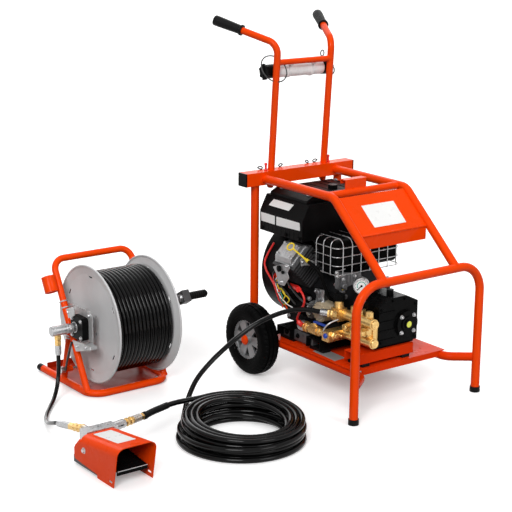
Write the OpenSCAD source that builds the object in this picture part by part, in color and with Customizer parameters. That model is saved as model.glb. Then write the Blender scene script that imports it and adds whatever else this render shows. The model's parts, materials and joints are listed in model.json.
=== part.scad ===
// Drain jetter: an engine-driven pressure pump on a two-wheeled cart, with its hose reel,
// its foot pedal valve and the hoses between them. Millimetres.
// Cart frame: +X to the cart's right, the front arch at y = 0 faces -Y, the floor is z = 0.

/* [Cart frame] */
// Outside diameter of the main frame tube
tube_d = 32; // [28:0.5:38]
// Spacing of the front legs, centre to centre
arch_w = 585; // [540:1:680]
// Height of the front arch's top, centre line
arch_z = 488; // [440:1:540]
// Bend radius of the front arch, centre line
arch_r = 100; // [70:1:140]
// Spacing of the two upper side tubes
side_w = 340; // [320:1:380]
// Height of the upper side tubes, centre line
side_z = 735; // [725:1:750]
// Distance from the arch to the bend of the side tubes
bend_y = 280; // [250:1:320]
// Bend radius of the side tubes
side_r = 60; // [45:1:90]
// Distance from the arch to the rear posts
post_y = 706; // [700:1:760]
// Spacing of the rear posts and of the deck rails
post_w = 400; // [390:1:410]
// Side of the square crossbar
bar_s = 50; // [46:1:56]
// Length of the square crossbar
bar_l = 510; // [460:1:560]
// Height of the square crossbar, centre
bar_z = 737; // [735:1:760]
// Wall of the square crossbar
bar_wall = 3; // [2:0.5:5]
// Diameter of the deck rails
rail_d = 32; // [28:0.5:34]
// Distance behind the arch at which the deck rails turn out to the legs
rail_turn_y = 70; // [60:1:80]
// Bend radius of the deck rails
rail_r = 60; // [45:1:70]
// Sheet of the deck
deck_t = 3; // [2:0.5:5]
// Front edge of the deck behind the arch
deck_y = 88; // [80:1:95]
// Length of the deck
deck_l = 530; // [480:1:545]
// Depth of the deck's front lip
deck_lip = 22; // [15:1:30]
// Sheet of the hood panel
panel_t = 2; // [1.5:0.5:4]
// Distance behind the arch of the panel's fold
panel_fold_y = 147; // [130:1:170]
// Depth of the panel's lower lip
panel_lip = 50; // [30:1:60]

/* [Wheels] */
// Wheel diameter over the tyre
wheel_d = 272; // [260:1:290]
// Tyre width
tyre_w = 75; // [70:1:78]
// Rim diameter at the bead
bead_d = 152; // [140:1:164]
// Axle diameter
axle_d = 16; // [12:0.5:20]
// Number of windows in a rim
rim_windows = 6; // [4:1:8]

/* [Handle] */
// Handle tube diameter
handle_d = 26; // [22:0.5:28]
// Spacing of the handle posts
handle_w = 254; // [230:1:280]
// Forward lean of the handle in degrees
handle_lean = 4; // [0:0.5:6]
// Height of the handle's neck, where the tubes turn to the grips
neck_z = 1236; // [1180:1:1280]
// Height of the handle's cross tube
brace_z = 1168; // [1120:1:1172]
// Diameter of the handle's cross tube
brace_d = 22; // [18:0.5:24]
// Sideways reach from the neck to the grip's end
grip_out = 117; // [80:1:140]
// Backward reach from the neck to the grip's end
grip_back = 233; // [200:1:260]
// Rise from the neck to the grip's end
grip_rise = 74; // [50:1:100]
// Length of a grip
grip_l = 118; // [100:1:130]
// Diameter of a grip
grip_d = 34; // [31:0.5:38]
// Length of the nozzle tube
store_l = 220; // [200:1:226]
// Diameter of the nozzle tube
store_d = 52; // [46:1:56]

/* [Engine] */
// Height of the mounting channels
channel_h = 38; // [34:1:44]
// Rubber mount height
mount_h = 12; // [9:1:16]
// Front of the crankcase behind the arch
case_y = 290; // [286:1:296]
// Length of the crankcase
case_l = 310; // [304:1:314]
// Width of the crankcase
case_w = 240; // [232:1:244]
// Crankshaft height over the mounting channels
crank_h = 98; // [94:1:104]
// Cylinder bore housing diameter
barrel_d = 88; // [80:1:94]
// Number of fins on a cylinder
fin_count = 6; // [4:1:7]
// Width of the blower housing
shroud_w = 390; // [370:1:396]
// Length of the upper blower housing
shroud_l = 255; // [245:1:258]
// Muffler length
muffler_l = 286; // [276:1:292]
// Muffler height
muffler_h = 115; // [105:1:120]
// Wire diameter of the muffler guard
wire_d = 3.5; // [3:0.5:5]

/* [Pump] */
// Width of the pump body
pump_w = 183; // [178:1:188]
// Height of the pump body
pump_h = 186; // [176:1:192]
// Length of the pump body
pump_l = 135; // [125:1:140]
// Diameter of the pump's front bearing cover
cover_d = 96; // [86:1:104]
// Width of the brass manifold
manifold_w = 46; // [40:1:50]
// Diameter of the manifold's water galleries
gallery_d = 38; // [32:1:42]
// Diameter of the pressure gauge
gauge_d = 58; // [52:1:64]

/* [Reel] */
// Distance of the reel axis behind the arch
reel_y = 830; // [822:1:836]
// Height of the reel axis
reel_z = 250; // [246:1:256]
// Flange diameter
flange_d = 438; // [410:1:450]
// Spacing of the flange rims
flange_w = 262; // [262:1:268]
// Depth of a flange's turned rim
rim_depth = 12; // [10:1:12]
// Flange sheet
flange_t = 2; // [1.5:0.5:3]
// Turns in the hose winding's outer layer
wrap_turns = 14; // [12:1:14]
// Reel hose diameter
reel_hose_d = 15.2; // [14:0.1:15.4]
// Diameter over the hose winding
wrap_d = 380; // [360:1:384]
// Reel shaft diameter
shaft_d = 30; // [26:1:32]
// Reel frame tube diameter
reel_tube_d = 27; // [25:0.5:28]
// Length of the crank arm, axis to axis
crank_l = 158; // [140:1:175]

/* [Pedal] */
// Width of the pedal guard
guard_w = 145; // [135:1:155]
// Length of the pedal guard
guard_l = 215; // [210:1:220]
// Height of the pedal guard
guard_h = 134; // [120:1:145]
// Sheet of the pedal guard
guard_t = 3; // [2:0.5:4]
// Length of the treadle
treadle_l = 175; // [160:1:185]

/* [Hoses] */
// Diameter of the pump hose
hose_d = 18.4; // [17:0.1:18.6]
// Turns in each layer of the pump hose's coil
coil_turns = 3; // [2:1:3]
// Outer centre-line radius of the coil
coil_r = 209; // [200:1:215]

/* [Hidden] */
$fn = 48;
// Clearance of seated pieces
fit = 0.1;
// Radial clearance of running pieces
run = 0.05;
// Clearance beside moving pieces
clear = 0.5;
// Overrun of every cut
over = 10;
// Depth to which joined shapes of one piece run into each other
embed = 1;
// Overlap of a tube's straight runs into its bends, and how much slimmer the bends are
lap = 0.3;
skin = 0.02;

// Cart frame places
axle_z = wheel_d / 2;
post_x = post_w / 2;
rail_low = 3;
rail_z = axle_z - rail_low;
deck_z = rail_z + rail_d / 2 + deck_t;
deck_w = post_w + rail_d;
tip_wall = 3;
tip_floor = 6;
tip_h = 20;
slope = atan2(side_z - arch_z, bend_y);
cross_d = 28;
cross_y = bend_y + side_r * tan(slope / 2) + cross_d / 2 + embed;
panel_top = 4;
panel_top_y = bend_y - panel_top;
hook_w = 98;
hook_h = 34;
hook_deep = 28;
hook_t = 3;
hook_x = -38;
bar_cap_t = 5;
bar_cap_in = 15;
deck_hole_d = 9;
deck_hole_inset = 60;
deck_hole_side = 150;

// Wheel places
hub_side = 1;
hub_inner_x = post_x + rail_d / 2 + hub_side;
tyre_gap = 3;
tyre_inner_x = post_x + tube_d / 2 + tyre_gap;
hub_inset = 6;
hub_outer_x = tyre_inner_x + tyre_w - hub_inset;
hub_d = 40;
rim_wall = 5;
rim_window_w = 30;
rim_w = 56;
web_t = 8;
tread_groove = 4;
tread_groove_x = 14;
shoulder_r = 17;
axle_cap_d = 38;
axle_cap_t = 9;

// Handle places
handle_x = handle_w / 2;
handle_foot = 13;
handle_r = 50;
neck_y = post_y - (neck_z - bar_z) * tan(handle_lean);
brace_y = post_y - (brace_z - bar_z) * tan(handle_lean);
collar_d = 40;
collar_t = 8;
grip_dome = 10;
store_wall = 3;
store_x = 5;
store_gap = 7;
store_y = brace_y + brace_d / 2 + store_d / 2 + store_gap;
store_z = brace_z - brace_d / 2 - store_d / 2;
clip_t = 3;
clip_w = 8;
clip_x = 55;
strap_w = 14;
plug_l = 50;
plug_neck = 22;
plug_head_d = 52;
bar_t_l = 60;
bar_t_d = 9;
cap_l = 24;

// Engine places
bed_z = deck_z + mount_h + channel_h;
channel_w = 80;
channel_t = 4;
channel_front_y = 104;
channel_front_x = [-185, 72];
channel_mid_in = 15;
channel_rear_in = 190;
channel_mid_y = case_y + channel_mid_in;
channel_rear_y = case_y + channel_rear_in;
channel_side = 200;
mount_side = 34;
crank_z = bed_z + crank_h;
case_side_h = 168;
case_chamfer = 70;
case_top_z = bed_z + case_side_h + case_chamfer;
cyl_start = (case_w / 2 + case_side_h - crank_h) / sqrt(2) + fit;
cyl_in = [205, 235];
cyl_y = [case_y + cyl_in[0], case_y + cyl_in[1]];
cyl_side = [-1, 1];
foot_t = 8;
fin_t = 3;
fin_step = 12;
fin_w = 116;
fin_l = 126;
head_h = 48;
head_start = cyl_start + foot_t + fin_count * fin_step;
valve_start = head_start + head_h;
valve_h = 26;
valve_w = 88;
valve_l = 94;
valve_cut = 12;
fan_deep = 80;
shroud_y = case_y + case_l + fan_deep - shroud_l;
shroud_end_y = shroud_y + shroud_l;
shroud_z = 546;
shroud_side_h = 76;
shroud_slope = [30, 58];
shroud_top_z = shroud_z + shroud_side_h + shroud_slope.y;
fan_r = 185;
fan_neck = 120;
fan_rise = 86;
fan_z = crank_z + fan_rise;
fan_grille_d = 190;
fan_grille_t = 6;
fan_slot = 8;
fan_rings = 5;
intake_w = 78;
intake_in = [140, 265];
intake_y = [case_y + intake_in[0], case_y + intake_in[1]];
lid_w = 322;
lid_inset = 19;
lid_y = [shroud_y + lid_inset, shroud_end_y - lid_inset];
lid_h = 25;
lid_cut = 14;
lid_slope = 28;
lid_rib = 4;
knob_x = 23;
knob_in = 95;
knob_y = shroud_y + knob_in;
knob_d = 36;
knob_h = 15;
knob_stud_d = 8;
muffler_x = -5;
muffler_y = [285, 385];
muffler_lift = 15;
muffler_z = case_top_z + muffler_lift;
muffler_round = 26;
muffler_seam = 3;
pipe_d = 24;
pipe_x = [-125, 122];
pipe_rise = [190, 186];
pipe_z = [crank_z + pipe_rise[0], crank_z + pipe_rise[1]];
guard_gap = 10;
guard_round = 26;
guard_front_y = muffler_y[0] - guard_gap - wire_d - wire_d / 2;
guard_over = 8;
guard_back_y = muffler_y[1] + guard_over;
guard_x = [muffler_x - muffler_l / 2 - guard_gap, muffler_x + muffler_l / 2 + guard_gap];
guard_low_z = muffler_z - guard_over;
guard_top_z = muffler_z + muffler_h + guard_over;
guard_levels = 4;
guard_front_wires = 7;
guard_end_wires = 3;
end_wire_share = 1.2;
end_span_share = 1.6;
dip_x = -214;
dip_mouth_y = 360;
dip_mouth_z = 490;
dip_angle = 18;
dip_l = 112;
dip_ring_d = 34;
dip_ring_t = 6;
dip_ring_turn = 40;
dip_rod_d = 7;
dip_tube_d = 14;
dip_tube_l = 62;
dip_tube_r = 30;
dip_reach = 40;
dip_foot_h = 52;
dip_foot_z = crank_z + dip_foot_h;
starter_d = 70;
starter_in = [112, 250];
starter_low = 8;
starter_y = [case_y + starter_in[0], case_y + starter_in[1]];
starter_z = crank_z - starter_low;
solenoid_d = 36;
starter_nose = 32;
filter_d = 74;
filter_l = 50;
filter_in = 56;
filter_low = 2;
filter_y = case_y + filter_in;
filter_z = crank_z - filter_low;

// Pump places
pump_side = 8;
pump_foot = 14;
pump_foot_in = 18;
pump_front = 4;
pump_x = [-pump_w / 2 - pump_side, pump_w / 2 - pump_side];
pump_y = channel_front_y - pump_front;
pump_cut = [56, 27];
pump_rib = 4;
pump_rib_count = 4;
pump_shaft_x = 27;
pump_shaft_h = 82;
pump_shaft_z = bed_z + pump_shaft_h;
cover_t = 8;
cover_step = 5;
sight_t = 3;
pump_rib_share = 1.5;
cover_bolt_d = 9;
cover_bolt_side = 58;
sight_d = 28;
drive_d = 170;
drive_x = 20;
drive_z = bed_z + crank_h;
oil_cap_d = 26;
oil_cap_h = 18;
oil_cap_x = -12;
oil_cap_back = 44;
manifold_x = pump_x[0];
manifold_lift = [22, 120];
manifold_z = [bed_z + manifold_lift[0], bed_z + manifold_lift[1]];
manifold_inset = 4;
gallery_proud = 5;
gallery_in = 14;
gallery_x = manifold_x - manifold_w + gallery_d / 2 - gallery_proud;
gallery_low_z = manifold_z[0] + gallery_in;
gallery_high_z = manifold_z[1] - gallery_in;
gallery_reach = 14;
gallery_plug_d = 32;
gallery_plug_l = 8;
valve_pitch = 48;
valve_cap_d = 30;
valve_cap_h = 22;
valve_tower_d = 34;
gauge_y = pump_y + pump_l / 2;
gauge_side = 6;
gauge_x = manifold_x - manifold_w / 2 - gauge_side;
gauge_rise = 90;
gauge_z = manifold_z[1] + valve_cap_h + gauge_rise;
gauge_turn = 37;
gauge_deep = 28;
gauge_bezel = 3;
gauge_recess = 4;
gauge_stem_d = 14;
gauge_nut_d = 20;
gauge_nut_h = 16;
needle_l = 22;
needle_w = 3;
needle_t = 1.2;
needle_hub_d = 8;
unloader_w = 40;
unloader_l = 42;
unloader_h = 46;
unloader_y = pump_y + pump_l - manifold_inset + gallery_reach;
unloader_side = 14;
unloader_x = gallery_x - unloader_side;
unloader_neck_d = 32;
unloader_neck_h = 26;
unloader_knob_d = 40;
unloader_knob_h = 26;
unloader_stem_d = 10;
inlet_out = 70;
inlet_x = -case_w / 2 - inlet_out;
inlet_tee_l = 38;
inlet_tee_h = 38;
inlet_pipe_d = 24;
inlet_pipe_l = 40;
inlet_body_d = 40;
inlet_body_l = 44;
inlet_neck_d = 30;
inlet_neck_l = 30;
inlet_ring_d = 40;
inlet_ring_l = 30;
inlet_bore_d = 26;
inlet_bore_l = 14;
inlet_low = 4;
inlet_z = gallery_low_z - inlet_low;
inlet_valve_y = unloader_y + inlet_tee_l + inlet_pipe_l + inlet_body_l / 2;
lever_boss_d = 16;
lever_boss_h = 8;
lever_l = 62;
lever_w = 13;
lever_t = 4;
outlet_hex_d = 28;
outlet_l = 64;
outlet_ferrule_d = 25;

// Reel places
reel_x = -724;
reel_frame_x = -737;
reel_frame_w = 330;
rail_left_x = reel_frame_x - reel_frame_w / 2;
rail_right_x = reel_frame_x + reel_frame_w / 2;
reel_cap_l = 28;
reel_rail_z = reel_tube_d / 2;
reel_front = 95;
reel_back = 298;
reel_front_y = reel_y - reel_front;
reel_back_y = reel_y + reel_back;
reel_base_r = 60;
reel_leg_front = 63;
reel_leg_y = reel_y - reel_leg_front;
reel_lean = 28;
reel_top_z = 462;
reel_top_r = 45;
strut_back = 112;
strut_foot_y = reel_y + strut_back;
strut_top_z = 235;
reel_leg_d = reel_tube_d - 2 * embed;
strut_d = reel_leg_d - 2 * embed;
sleeve_d = 50;
sleeve_bore_d = 42;
sleeve_l = 60;
sleeve_z = 383;
pan_t = 2;
pan_inset = 4;
pan_lip = 22;
bracket_t = 5;
bracket_reach = [80, 100];
bracket_half = 68;
bracket_y = [reel_y - bracket_reach[0], reel_y + bracket_reach[1]];
bracket_z = [reel_z - bracket_half, reel_z + bracket_half];
bracket_hole = 12;
bracket_hole_d = shaft_d + bracket_hole;
bearing_s = 84;
bearing_off = 14;
bearing_w = 26;
bearing_round = 12;
bearing_bolt_d = 9;
bearing_bolt_side = 62;
flat_left_x = reel_x - flange_w / 2 + rim_depth;
flat_right_x = reel_x + flange_w / 2 - rim_depth;
rim_turn = 33;
flat_r = flange_d / 2 - rim_turn;
bead_r = 4;
flange_slot_w = 12;
flange_slot_r = 176;
flange_slots = 6;
lock_r = 198;
lock_turn = -67;
lock_y = reel_y + lock_r * cos(lock_turn);
lock_z = reel_z + lock_r * sin(lock_turn);
lock_hole_d = 12;
lock_pin_d = 8;
lock_knob_d = 24;
lock_knob_l = 18;
lock_boss_d = 22;
lock_boss_l = 30;
lock_back = 5;
lock_tip_x = reel_x - flange_w / 2 - lock_back;
drum_d = 120;
drum_wall = 3;
hub_t = 8;
hub_window_r = 46;
hub_window_d = 9;
wrap_gap = 0.3;
wrap_rings = 20;
wrap_sides = 6;
wrap_r = wrap_d / 2 - reel_hose_d / 2;
wrap_space = 0.5;
wrap_pitch = reel_hose_d + wrap_space;
pack_d = 2 * (wrap_r * cos(180 / wrap_rings) - reel_hose_d / 2 - wrap_gap);
shaft_out = [28, 40];
shaft_right_x = rail_right_x + reel_tube_d / 2 + shaft_out[0];
spigot_d = 20;
spigot_l = 24;
shaft_left_x = rail_left_x - shaft_out[1];
swivel_d = 37;
swivel_l = 67;
swivel_port = 42;
swivel_port_x = shaft_left_x - swivel_port;
swivel_hex_d = 24;
swivel_low = 160;
swivel_ferrule_d = 22;
swivel_ferrule_l = 34;
crank_turn = 149;
crank_t = 12;
crank_w = 28;
crank_hub_d = 44;
crank_end = [30, 40, 44];
crank_in = 14;
crank_x = shaft_right_x - crank_in;
spindle_d = 10;
spindle_l = 78;
spindle_nut_d = 18;
spindle_nut_t = 6;
crank_grip_d = 29;
crank_y = reel_y + crank_l * cos(crank_turn);
crank_z_end = reel_z + crank_l * sin(crank_turn);

// Pedal places
pedal_x = -1177;
guard_corner_r = 28;
guard_step_y = 110;
guard_step_z = 30;
guard_fall = 7;
guard_foot_y = 12;
guard_nose_y = -14;
guard_rear_z = 54;
guard_slot_w = 8;
guard_slot_l = 22;
guard_slot_y = 30;
guard_slot_z = 16;
pivot_d = 8;
pivot_y = 190;
pivot_z = 40;
treadle_t = 4;
treadle_gap = 14;
treadle_lip = 12;
treadle_hub_d = 16;
treadle_drop = 20;
treadle_ribs = 6;
treadle_rib_h = 2;
treadle_rib_w = 5;
valve_x = [-46, 70];
valve_body_l = 46;
valve_top_z = 112;
valve_foot_h = 6;
valve_base_t = 4;
valve_base_h = 26;
stem_y = guard_step_y + guard_slot_l;
stem_d = 12;
stem_in = 7;
stem_head_d = 18;
stem_head_t = 5;
stem_gap = 0.4;
stem_top_z = pivot_z + valve_base_h
    - (pivot_y - stem_y + stem_head_d / 2) * treadle_drop / treadle_l
    - treadle_t / 2 - stem_gap;
left_cap_d = 24;
left_port_x = -21;
left_port_z = 102;
left_hex_d = 26;
left_hex_l = 96;
left_ferrule_d = 22;
right_port_z = 97;
right_port_y = 29;
right_cap_d = 30;
right_cap_l = 36;
right_hex_d = 25;

// Hose routes in the cart frame, between the straight ends at their fittings
pump_route = [[-230, 357, 315], [-262, 399, 307], [-302, 445, 284], [-355, 487, 248],
              [-400, 507, 216], [-455, 519, 178], [-530, 520, 130], [-610, 498, 82],
              [-690, 437, 38], [-745, 376, 16], [-780, 330, 10]];
pedal_route = [[-765, 325, 91], [-805, 328, 91], [-846, 325, 90], [-880, 317, 89],
               [-920, 306, 88.5]];
reel_route = [[-984, 829, 115], [-990, 824, 78], [-1006, 808, 42], [-1036, 776, 18],
              [-1074, 734, 9], [-1112, 686, 8.2], [-1146, 632, 10], [-1172, 574, 22],
              [-1192, 518, 42]];
// Hose ends at the fittings
outlet_x = -196;
outlet_y = 307;
outlet_z = 313;
outlet_end = [outlet_x, outlet_y, outlet_z];
outlet_way = unit([-23, 37, 2]);
left_end_x = -1207;
left_end_y = 430;
left_end_z = 72;
left_end = [left_end_x, left_end_y, left_end_z];
right_end_x = -968;
right_end_y = 290;
right_end_z = 88;
right_end = [right_end_x, right_end_y, right_end_z];
swivel_end = [swivel_port_x, reel_y, swivel_low];
left_port = [pedal_x + left_port_x, guard_l + fit + valve_body_l, left_port_z];
left_way = unit(left_end - left_port);
right_port = [pedal_x + valve_x[1], guard_l + fit + right_port_y, right_port_z];
right_way = unit(right_end - right_port);
sleeve_turn = 3;
sleeve_hose_d = 23;
hose_sides = 8;

// Coil of the pump hose: the spiral winds in and out at one rate in four layers, and climbs
// a layer in the half turn where it reverses
coil_x = -684;
coil_y = 113;
coil_center = [coil_x, coil_y];
coil_space = [1, 0.7];
coil_pitch = hose_d + coil_space[0];
coil_layer = hose_d + coil_space[1];
coil_layers = 4;
coil_loose = 8;
coil_rings = 24;
coil_start = 126;
coil_lead = 10 / coil_rings;
coil_sides = 6;
coil_period = coil_turns + 0.5;
coil_length = coil_layers * coil_period - 0.5;
coil_steps = round((coil_lead + coil_length) * coil_rings);
function clamp01(v) = max(0, min(1, v));
function coil_radius(s) =
    s < 0 ? coil_r - s * coil_pitch
          : let (k = floor(s / coil_period + 0.25 / coil_period), u = s - k * coil_period)
            k % 2 == 0 ? coil_r - (u > coil_turns + 0.25 ? 2 * coil_turns + 0.5 - u : u) * coil_pitch
                       : coil_r - (coil_turns - (u > coil_turns + 0.25
                                                 ? 2 * coil_turns + 0.5 - u : u)) * coil_pitch;
function coil_height(s) =
    hose_d / 2 + coil_layer * (s < 0 ? 0 : floor(s / coil_period)
    + clamp01((s - floor(s / coil_period) * coil_period - coil_turns) * 2));
function coil_point(i) =
    let (s = i / coil_rings - coil_lead, a = coil_start + 360 * (s + coil_lead))
    [coil_center.x + coil_radius(s) * cos(a), coil_center.y + coil_radius(s) * sin(a),
     coil_height(s) + (coil_height(s) - hose_d / 2) / coil_layer * coil_loose * (1 + sin(a)) / 2];
coil_path = [for (i = [0 : coil_steps]) coil_point(i)];

// Least gap of a wound tube to its own other turns
function near_gap(path, i, skip, d) =
    min([for (j = [i + skip : len(path) - 1]) norm(path[i] - path[j]) - d]);
function own_gap(path, skip, d) =
    min([for (i = [0 : len(path) - 1 - skip]) near_gap(path, i, skip, d)]);

// Outer layer of the reel's winding
wrap_steps = wrap_turns * wrap_rings;
wrap_start_x = reel_x - (wrap_turns * wrap_pitch) / 2;
wrap_path = [for (i = [0 : wrap_steps])
    [wrap_start_x + wrap_pitch * i / wrap_rings,
     reel_y + wrap_r * cos(360 * i / wrap_rings), reel_z + wrap_r * sin(360 * i / wrap_rings)]];
echo(coil_gap = own_gap(coil_path, coil_rings - 6, hose_d));
echo(wrap_gap = own_gap(wrap_path, wrap_rings - 6, reel_hose_d));

// The whole layout stands with its origin under the middle of its box, on the floor
layout_x = [pedal_x - guard_w / 2, arch_w / 2 + tube_d / 2 + tip_wall];
layout_y = [-tube_d / 2 - tip_wall, reel_back_y];
module place() {
    translate([-(layout_x[0] + layout_x[1]) / 2, -(layout_y[0] + layout_y[1]) / 2, 0]) children();
}

// Shapes shared by the pieces
function unit(v) = v / norm(v);
module rod(a, b, d) {
    v = b - a;
    translate(a) rotate([0, acos(v.z / norm(v)), atan2(v.y, v.x)]) cylinder(d = d, h = norm(v));
}
module hex_rod(a, b, d) {
    v = b - a;
    translate(a) rotate([0, acos(v.z / norm(v)), atan2(v.y, v.x)])
        cylinder(d = d, h = norm(v), $fn = 6);
}
function bend_turn(a, p, b) = acos(max(-1, min(1, unit(p - a) * unit(b - p))));
function bend_set(a, p, b, r) = r * tan(bend_turn(a, p, b) / 2);
module bend(a, p, b, d, r) {
    u = unit(p - a);
    w = unit(b - p);
    start = p - u * bend_set(a, p, b, r);
    side = unit(w - u * (w * u));
    centre = start + side * r;
    up = cross(-side, u);
    multmatrix([[-side.x, u.x, up.x, centre.x], [-side.y, u.y, up.y, centre.y],
                [-side.z, u.z, up.z, centre.z], [0, 0, 0, 1]])
        rotate_extrude(angle = bend_turn(a, p, b)) translate([r, 0]) circle(d = d - 2 * skin);
}
module bent_tube(pts, d, r) {
    last = len(pts) - 1;
    for (i = [0 : last - 1]) {
        u = unit(pts[i + 1] - pts[i]);
        head = i == 0 ? 0 : bend_set(pts[i - 1], pts[i], pts[i + 1], r);
        tail = i == last - 1 ? 0 : bend_set(pts[i], pts[i + 1], pts[i + 2], r);
        rod(pts[i] + u * (i == 0 ? 0 : head - lap), pts[i + 1] - u * (i == last - 1 ? 0 : tail - lap), d);
    }
    for (i = [1 : 1 : last - 1]) bend(pts[i - 1], pts[i], pts[i + 1], d, r);
}
module rod_x(x0, x1, y, z, d) { translate([x0, y, z]) rotate([0, 90, 0]) cylinder(d = d, h = x1 - x0); }
module rod_y(y0, y1, x, z, d) { translate([x, y1, z]) rotate([90, 0, 0]) cylinder(d = d, h = y1 - y0); }
module rod_z(z0, z1, x, y, d) { translate([x, y, z0]) cylinder(d = d, h = z1 - z0); }
module block(lo, hi) { translate(lo) cube(hi - lo); }
module slab_x(x0, x1) { translate([x0, 0, 0]) rotate([90, 0, 90]) linear_extrude(x1 - x0) children(); }
module slab_y(y0, y1) { translate([0, y1, 0]) rotate([90, 0, 0]) linear_extrude(y1 - y0) children(); }
module round_rect(lo, hi, r) {
    for (x = [lo.x + r, hi.x - r], y = [lo.y + r, hi.y - r]) translate([x, y]) circle(r = r);
    translate([lo.x + r, lo.y]) square([hi.x - lo.x - 2 * r, hi.y - lo.y]);
    translate([lo.x, lo.y + r]) square([hi.x - lo.x, hi.y - lo.y - 2 * r]);
}
// A cut-corner outline: a rectangle whose two upper corners slope
module roof(x0, x1, z0, z1, cut) {
    polygon([[x0, z0], [x1, z0], [x1, z1 - cut.y], [x1 - cut.x, z1], [x0 + cut.x, z1],
             [x0, z1 - cut.y]]);
}
// A tube swept along points: one ring of corners at each point, joined by triangles
function ahead(path, i) =
    unit(path[min(i + 1, len(path) - 1)] - path[max(i - 1, 0)]);
function across(t) = unit(cross(t, abs(t.z) > 0.9 ? [0, 1, 0] : [0, 0, 1]));
function sweep_ring(path, i, d, sides) =
    let (t = ahead(path, i), a = across(t), b = cross(a, t))
    [for (k = [0 : sides - 1])
        path[i] + (a * cos(360 * k / sides) + b * sin(360 * k / sides)) * d / 2];
module sweep(path, d, sides) {
    n = len(path);
    points = [for (i = [0 : n - 1]) each sweep_ring(path, i, d, sides)];
    walls = [for (i = [0 : n - 2], k = [0 : sides - 1]) each
        let (a = i * sides + k, b = i * sides + (k + 1) % sides)
        [[a, b, b + sides], [a, b + sides, a + sides]]];
    first = [for (k = [1 : sides - 2]) [0, k + 1, k]];
    tail = [for (k = [1 : sides - 2]) [(n - 1) * sides, (n - 1) * sides + k, (n - 1) * sides + k + 1]];
    polyhedron(points, concat(walls, first, tail));
}
// Points between a route's own points, on a smooth curve through them
route_steps = 3;
function curve_at(r, i, t) =
    let (p0 = r[max(i - 1, 0)], p1 = r[i], p2 = r[i + 1], p3 = r[min(i + 2, len(r) - 1)])
    (p1 * 2 + (p2 - p0) * t + (p0 * 2 - p1 * 5 + p2 * 4 - p3) * t * t
     + (p1 * 3 - p0 - p2 * 3 + p3) * t * t * t) / 2;
function smooth_route(r) =
    concat([r[0]],
           [for (i = [1 : len(r) - 3], k = [0 : route_steps - 1]) curve_at(r, i, k / route_steps)],
           [r[len(r) - 2], r[len(r) - 1]]);
function hose_path(start, start_way, mids, end, end_way, d) =
    smooth_route(concat([start, start + start_way * d], mids, [end - end_way * d, end]));
coil_in = unit(coil_path[1] - coil_path[0]);
coil_out = unit(coil_path[coil_steps] - coil_path[coil_steps - 1]);
pump_path = hose_path(outlet_end, outlet_way, pump_route, coil_path[0], coil_in, hose_d);
pedal_path = hose_path(coil_path[coil_steps], coil_out, pedal_route, right_end, -right_way, hose_d);
reel_path = hose_path(swivel_end, [0, 0, -1], reel_route, left_end, -left_way, reel_hose_d);
function low_z(path) = min([for (p = path) p.z]);
echo(low = [low_z(pump_path) - hose_d / 2, low_z(pedal_path), low_z(reel_path) - reel_hose_d / 2]);
sleeve_from = len(pedal_path) - 1 - sleeve_turn * route_steps;

// Cart frame
module front_arch() place() color("orangered") {
    x = arch_w / 2;
    bent_tube([[-x, 0, tip_floor], [-x, 0, arch_z], [x, 0, arch_z], [x, 0, tip_floor]],
              tube_d, arch_r);
}
module foot_tips() place() color("black") {
    for (x = [-arch_w / 2, arch_w / 2]) translate([x, 0, 0]) difference() {
        cylinder(d = tube_d + 2 * tip_wall, h = tip_h);
        translate([0, 0, tip_floor]) cylinder(d = tube_d + 2 * fit, h = tip_h);
    }
}
module deck_rails() place() color("orangered") {
    turn = unit([arch_w / 2 - post_x, -rail_turn_y, 0]);
    stop = tube_d / 2 + fit;
    for (s = [-1, 1]) difference() {
        bent_tube([[s * post_x, post_y - stop, rail_z], [s * post_x, rail_turn_y, rail_z],
                   [s * (arch_w / 2 - turn.x * stop), -turn.y * stop, rail_z]], rail_d, rail_r);
        rod_x(-arch_w, arch_w, axle_y(), axle_z, axle_d + 2 * fit);
    }
}
function axle_y() = post_y - tube_d / 2 - axle_back;
axle_back = 48;
module deck_plate() place() color("orangered") {
    z0 = deck_z - deck_t;
    difference() {
        block([-deck_w / 2, deck_y, z0], [deck_w / 2, deck_y + deck_l, deck_z]);
        rod_z(z0 - over, deck_z + over, deck_hole_side, deck_y + deck_hole_inset, deck_hole_d);
    }
    inner = post_x - rail_d / 2 - fit;
    block([-inner, deck_y, deck_z - deck_lip], [inner, deck_y + deck_t, deck_z]);
    block([-inner, deck_y + deck_l - deck_t, deck_z - deck_lip], [inner, deck_y + deck_l, deck_z]);
}
module rear_posts() place() color("orangered") {
    for (s = [-1, 1]) rod_z(rail_z - rail_d / 2, bar_z - bar_s / 2, s * post_x, post_y, tube_d);
}
module handle_post(s, d) {
    y0 = post_y + (bar_s / 2 + handle_foot) * tan(handle_lean);
    bent_tube([[s * handle_x, y0, bar_z - bar_s / 2 - handle_foot], [s * handle_x, neck_y, neck_z],
               [s * (handle_x + grip_out), neck_y + grip_back, neck_z + grip_rise]], d, handle_r);
}
module crossbar() place() color("orangered") {
    in = bar_s - 2 * bar_wall;
    difference() {
        translate([-bar_l / 2, post_y - bar_s / 2, bar_z - bar_s / 2]) cube([bar_l, bar_s, bar_s]);
        translate([-bar_l / 2 - over, post_y - in / 2, bar_z - in / 2]) cube([bar_l + 2 * over, in, in]);
        for (s = [-1, 1]) handle_post(s, handle_d + 2 * fit);
    }
}
module end_caps() place() color("black") {
    in = bar_s - 2 * bar_wall - 2 * fit;
    for (s = [-1, 1]) translate([s * bar_l / 2, post_y, bar_z]) mirror([s < 0 ? 1 : 0, 0, 0]) {
        translate([0, -bar_s / 2, -bar_s / 2]) cube([bar_cap_t, bar_s, bar_s]);
        translate([-bar_cap_in, -in / 2, -in / 2]) cube([bar_cap_in + embed, in, in]);
    }
    for (x = [rail_left_x, rail_right_x])
        rod_y(reel_back_y - reel_cap_l, reel_back_y, x, reel_rail_z, reel_tube_d);
}
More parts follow.
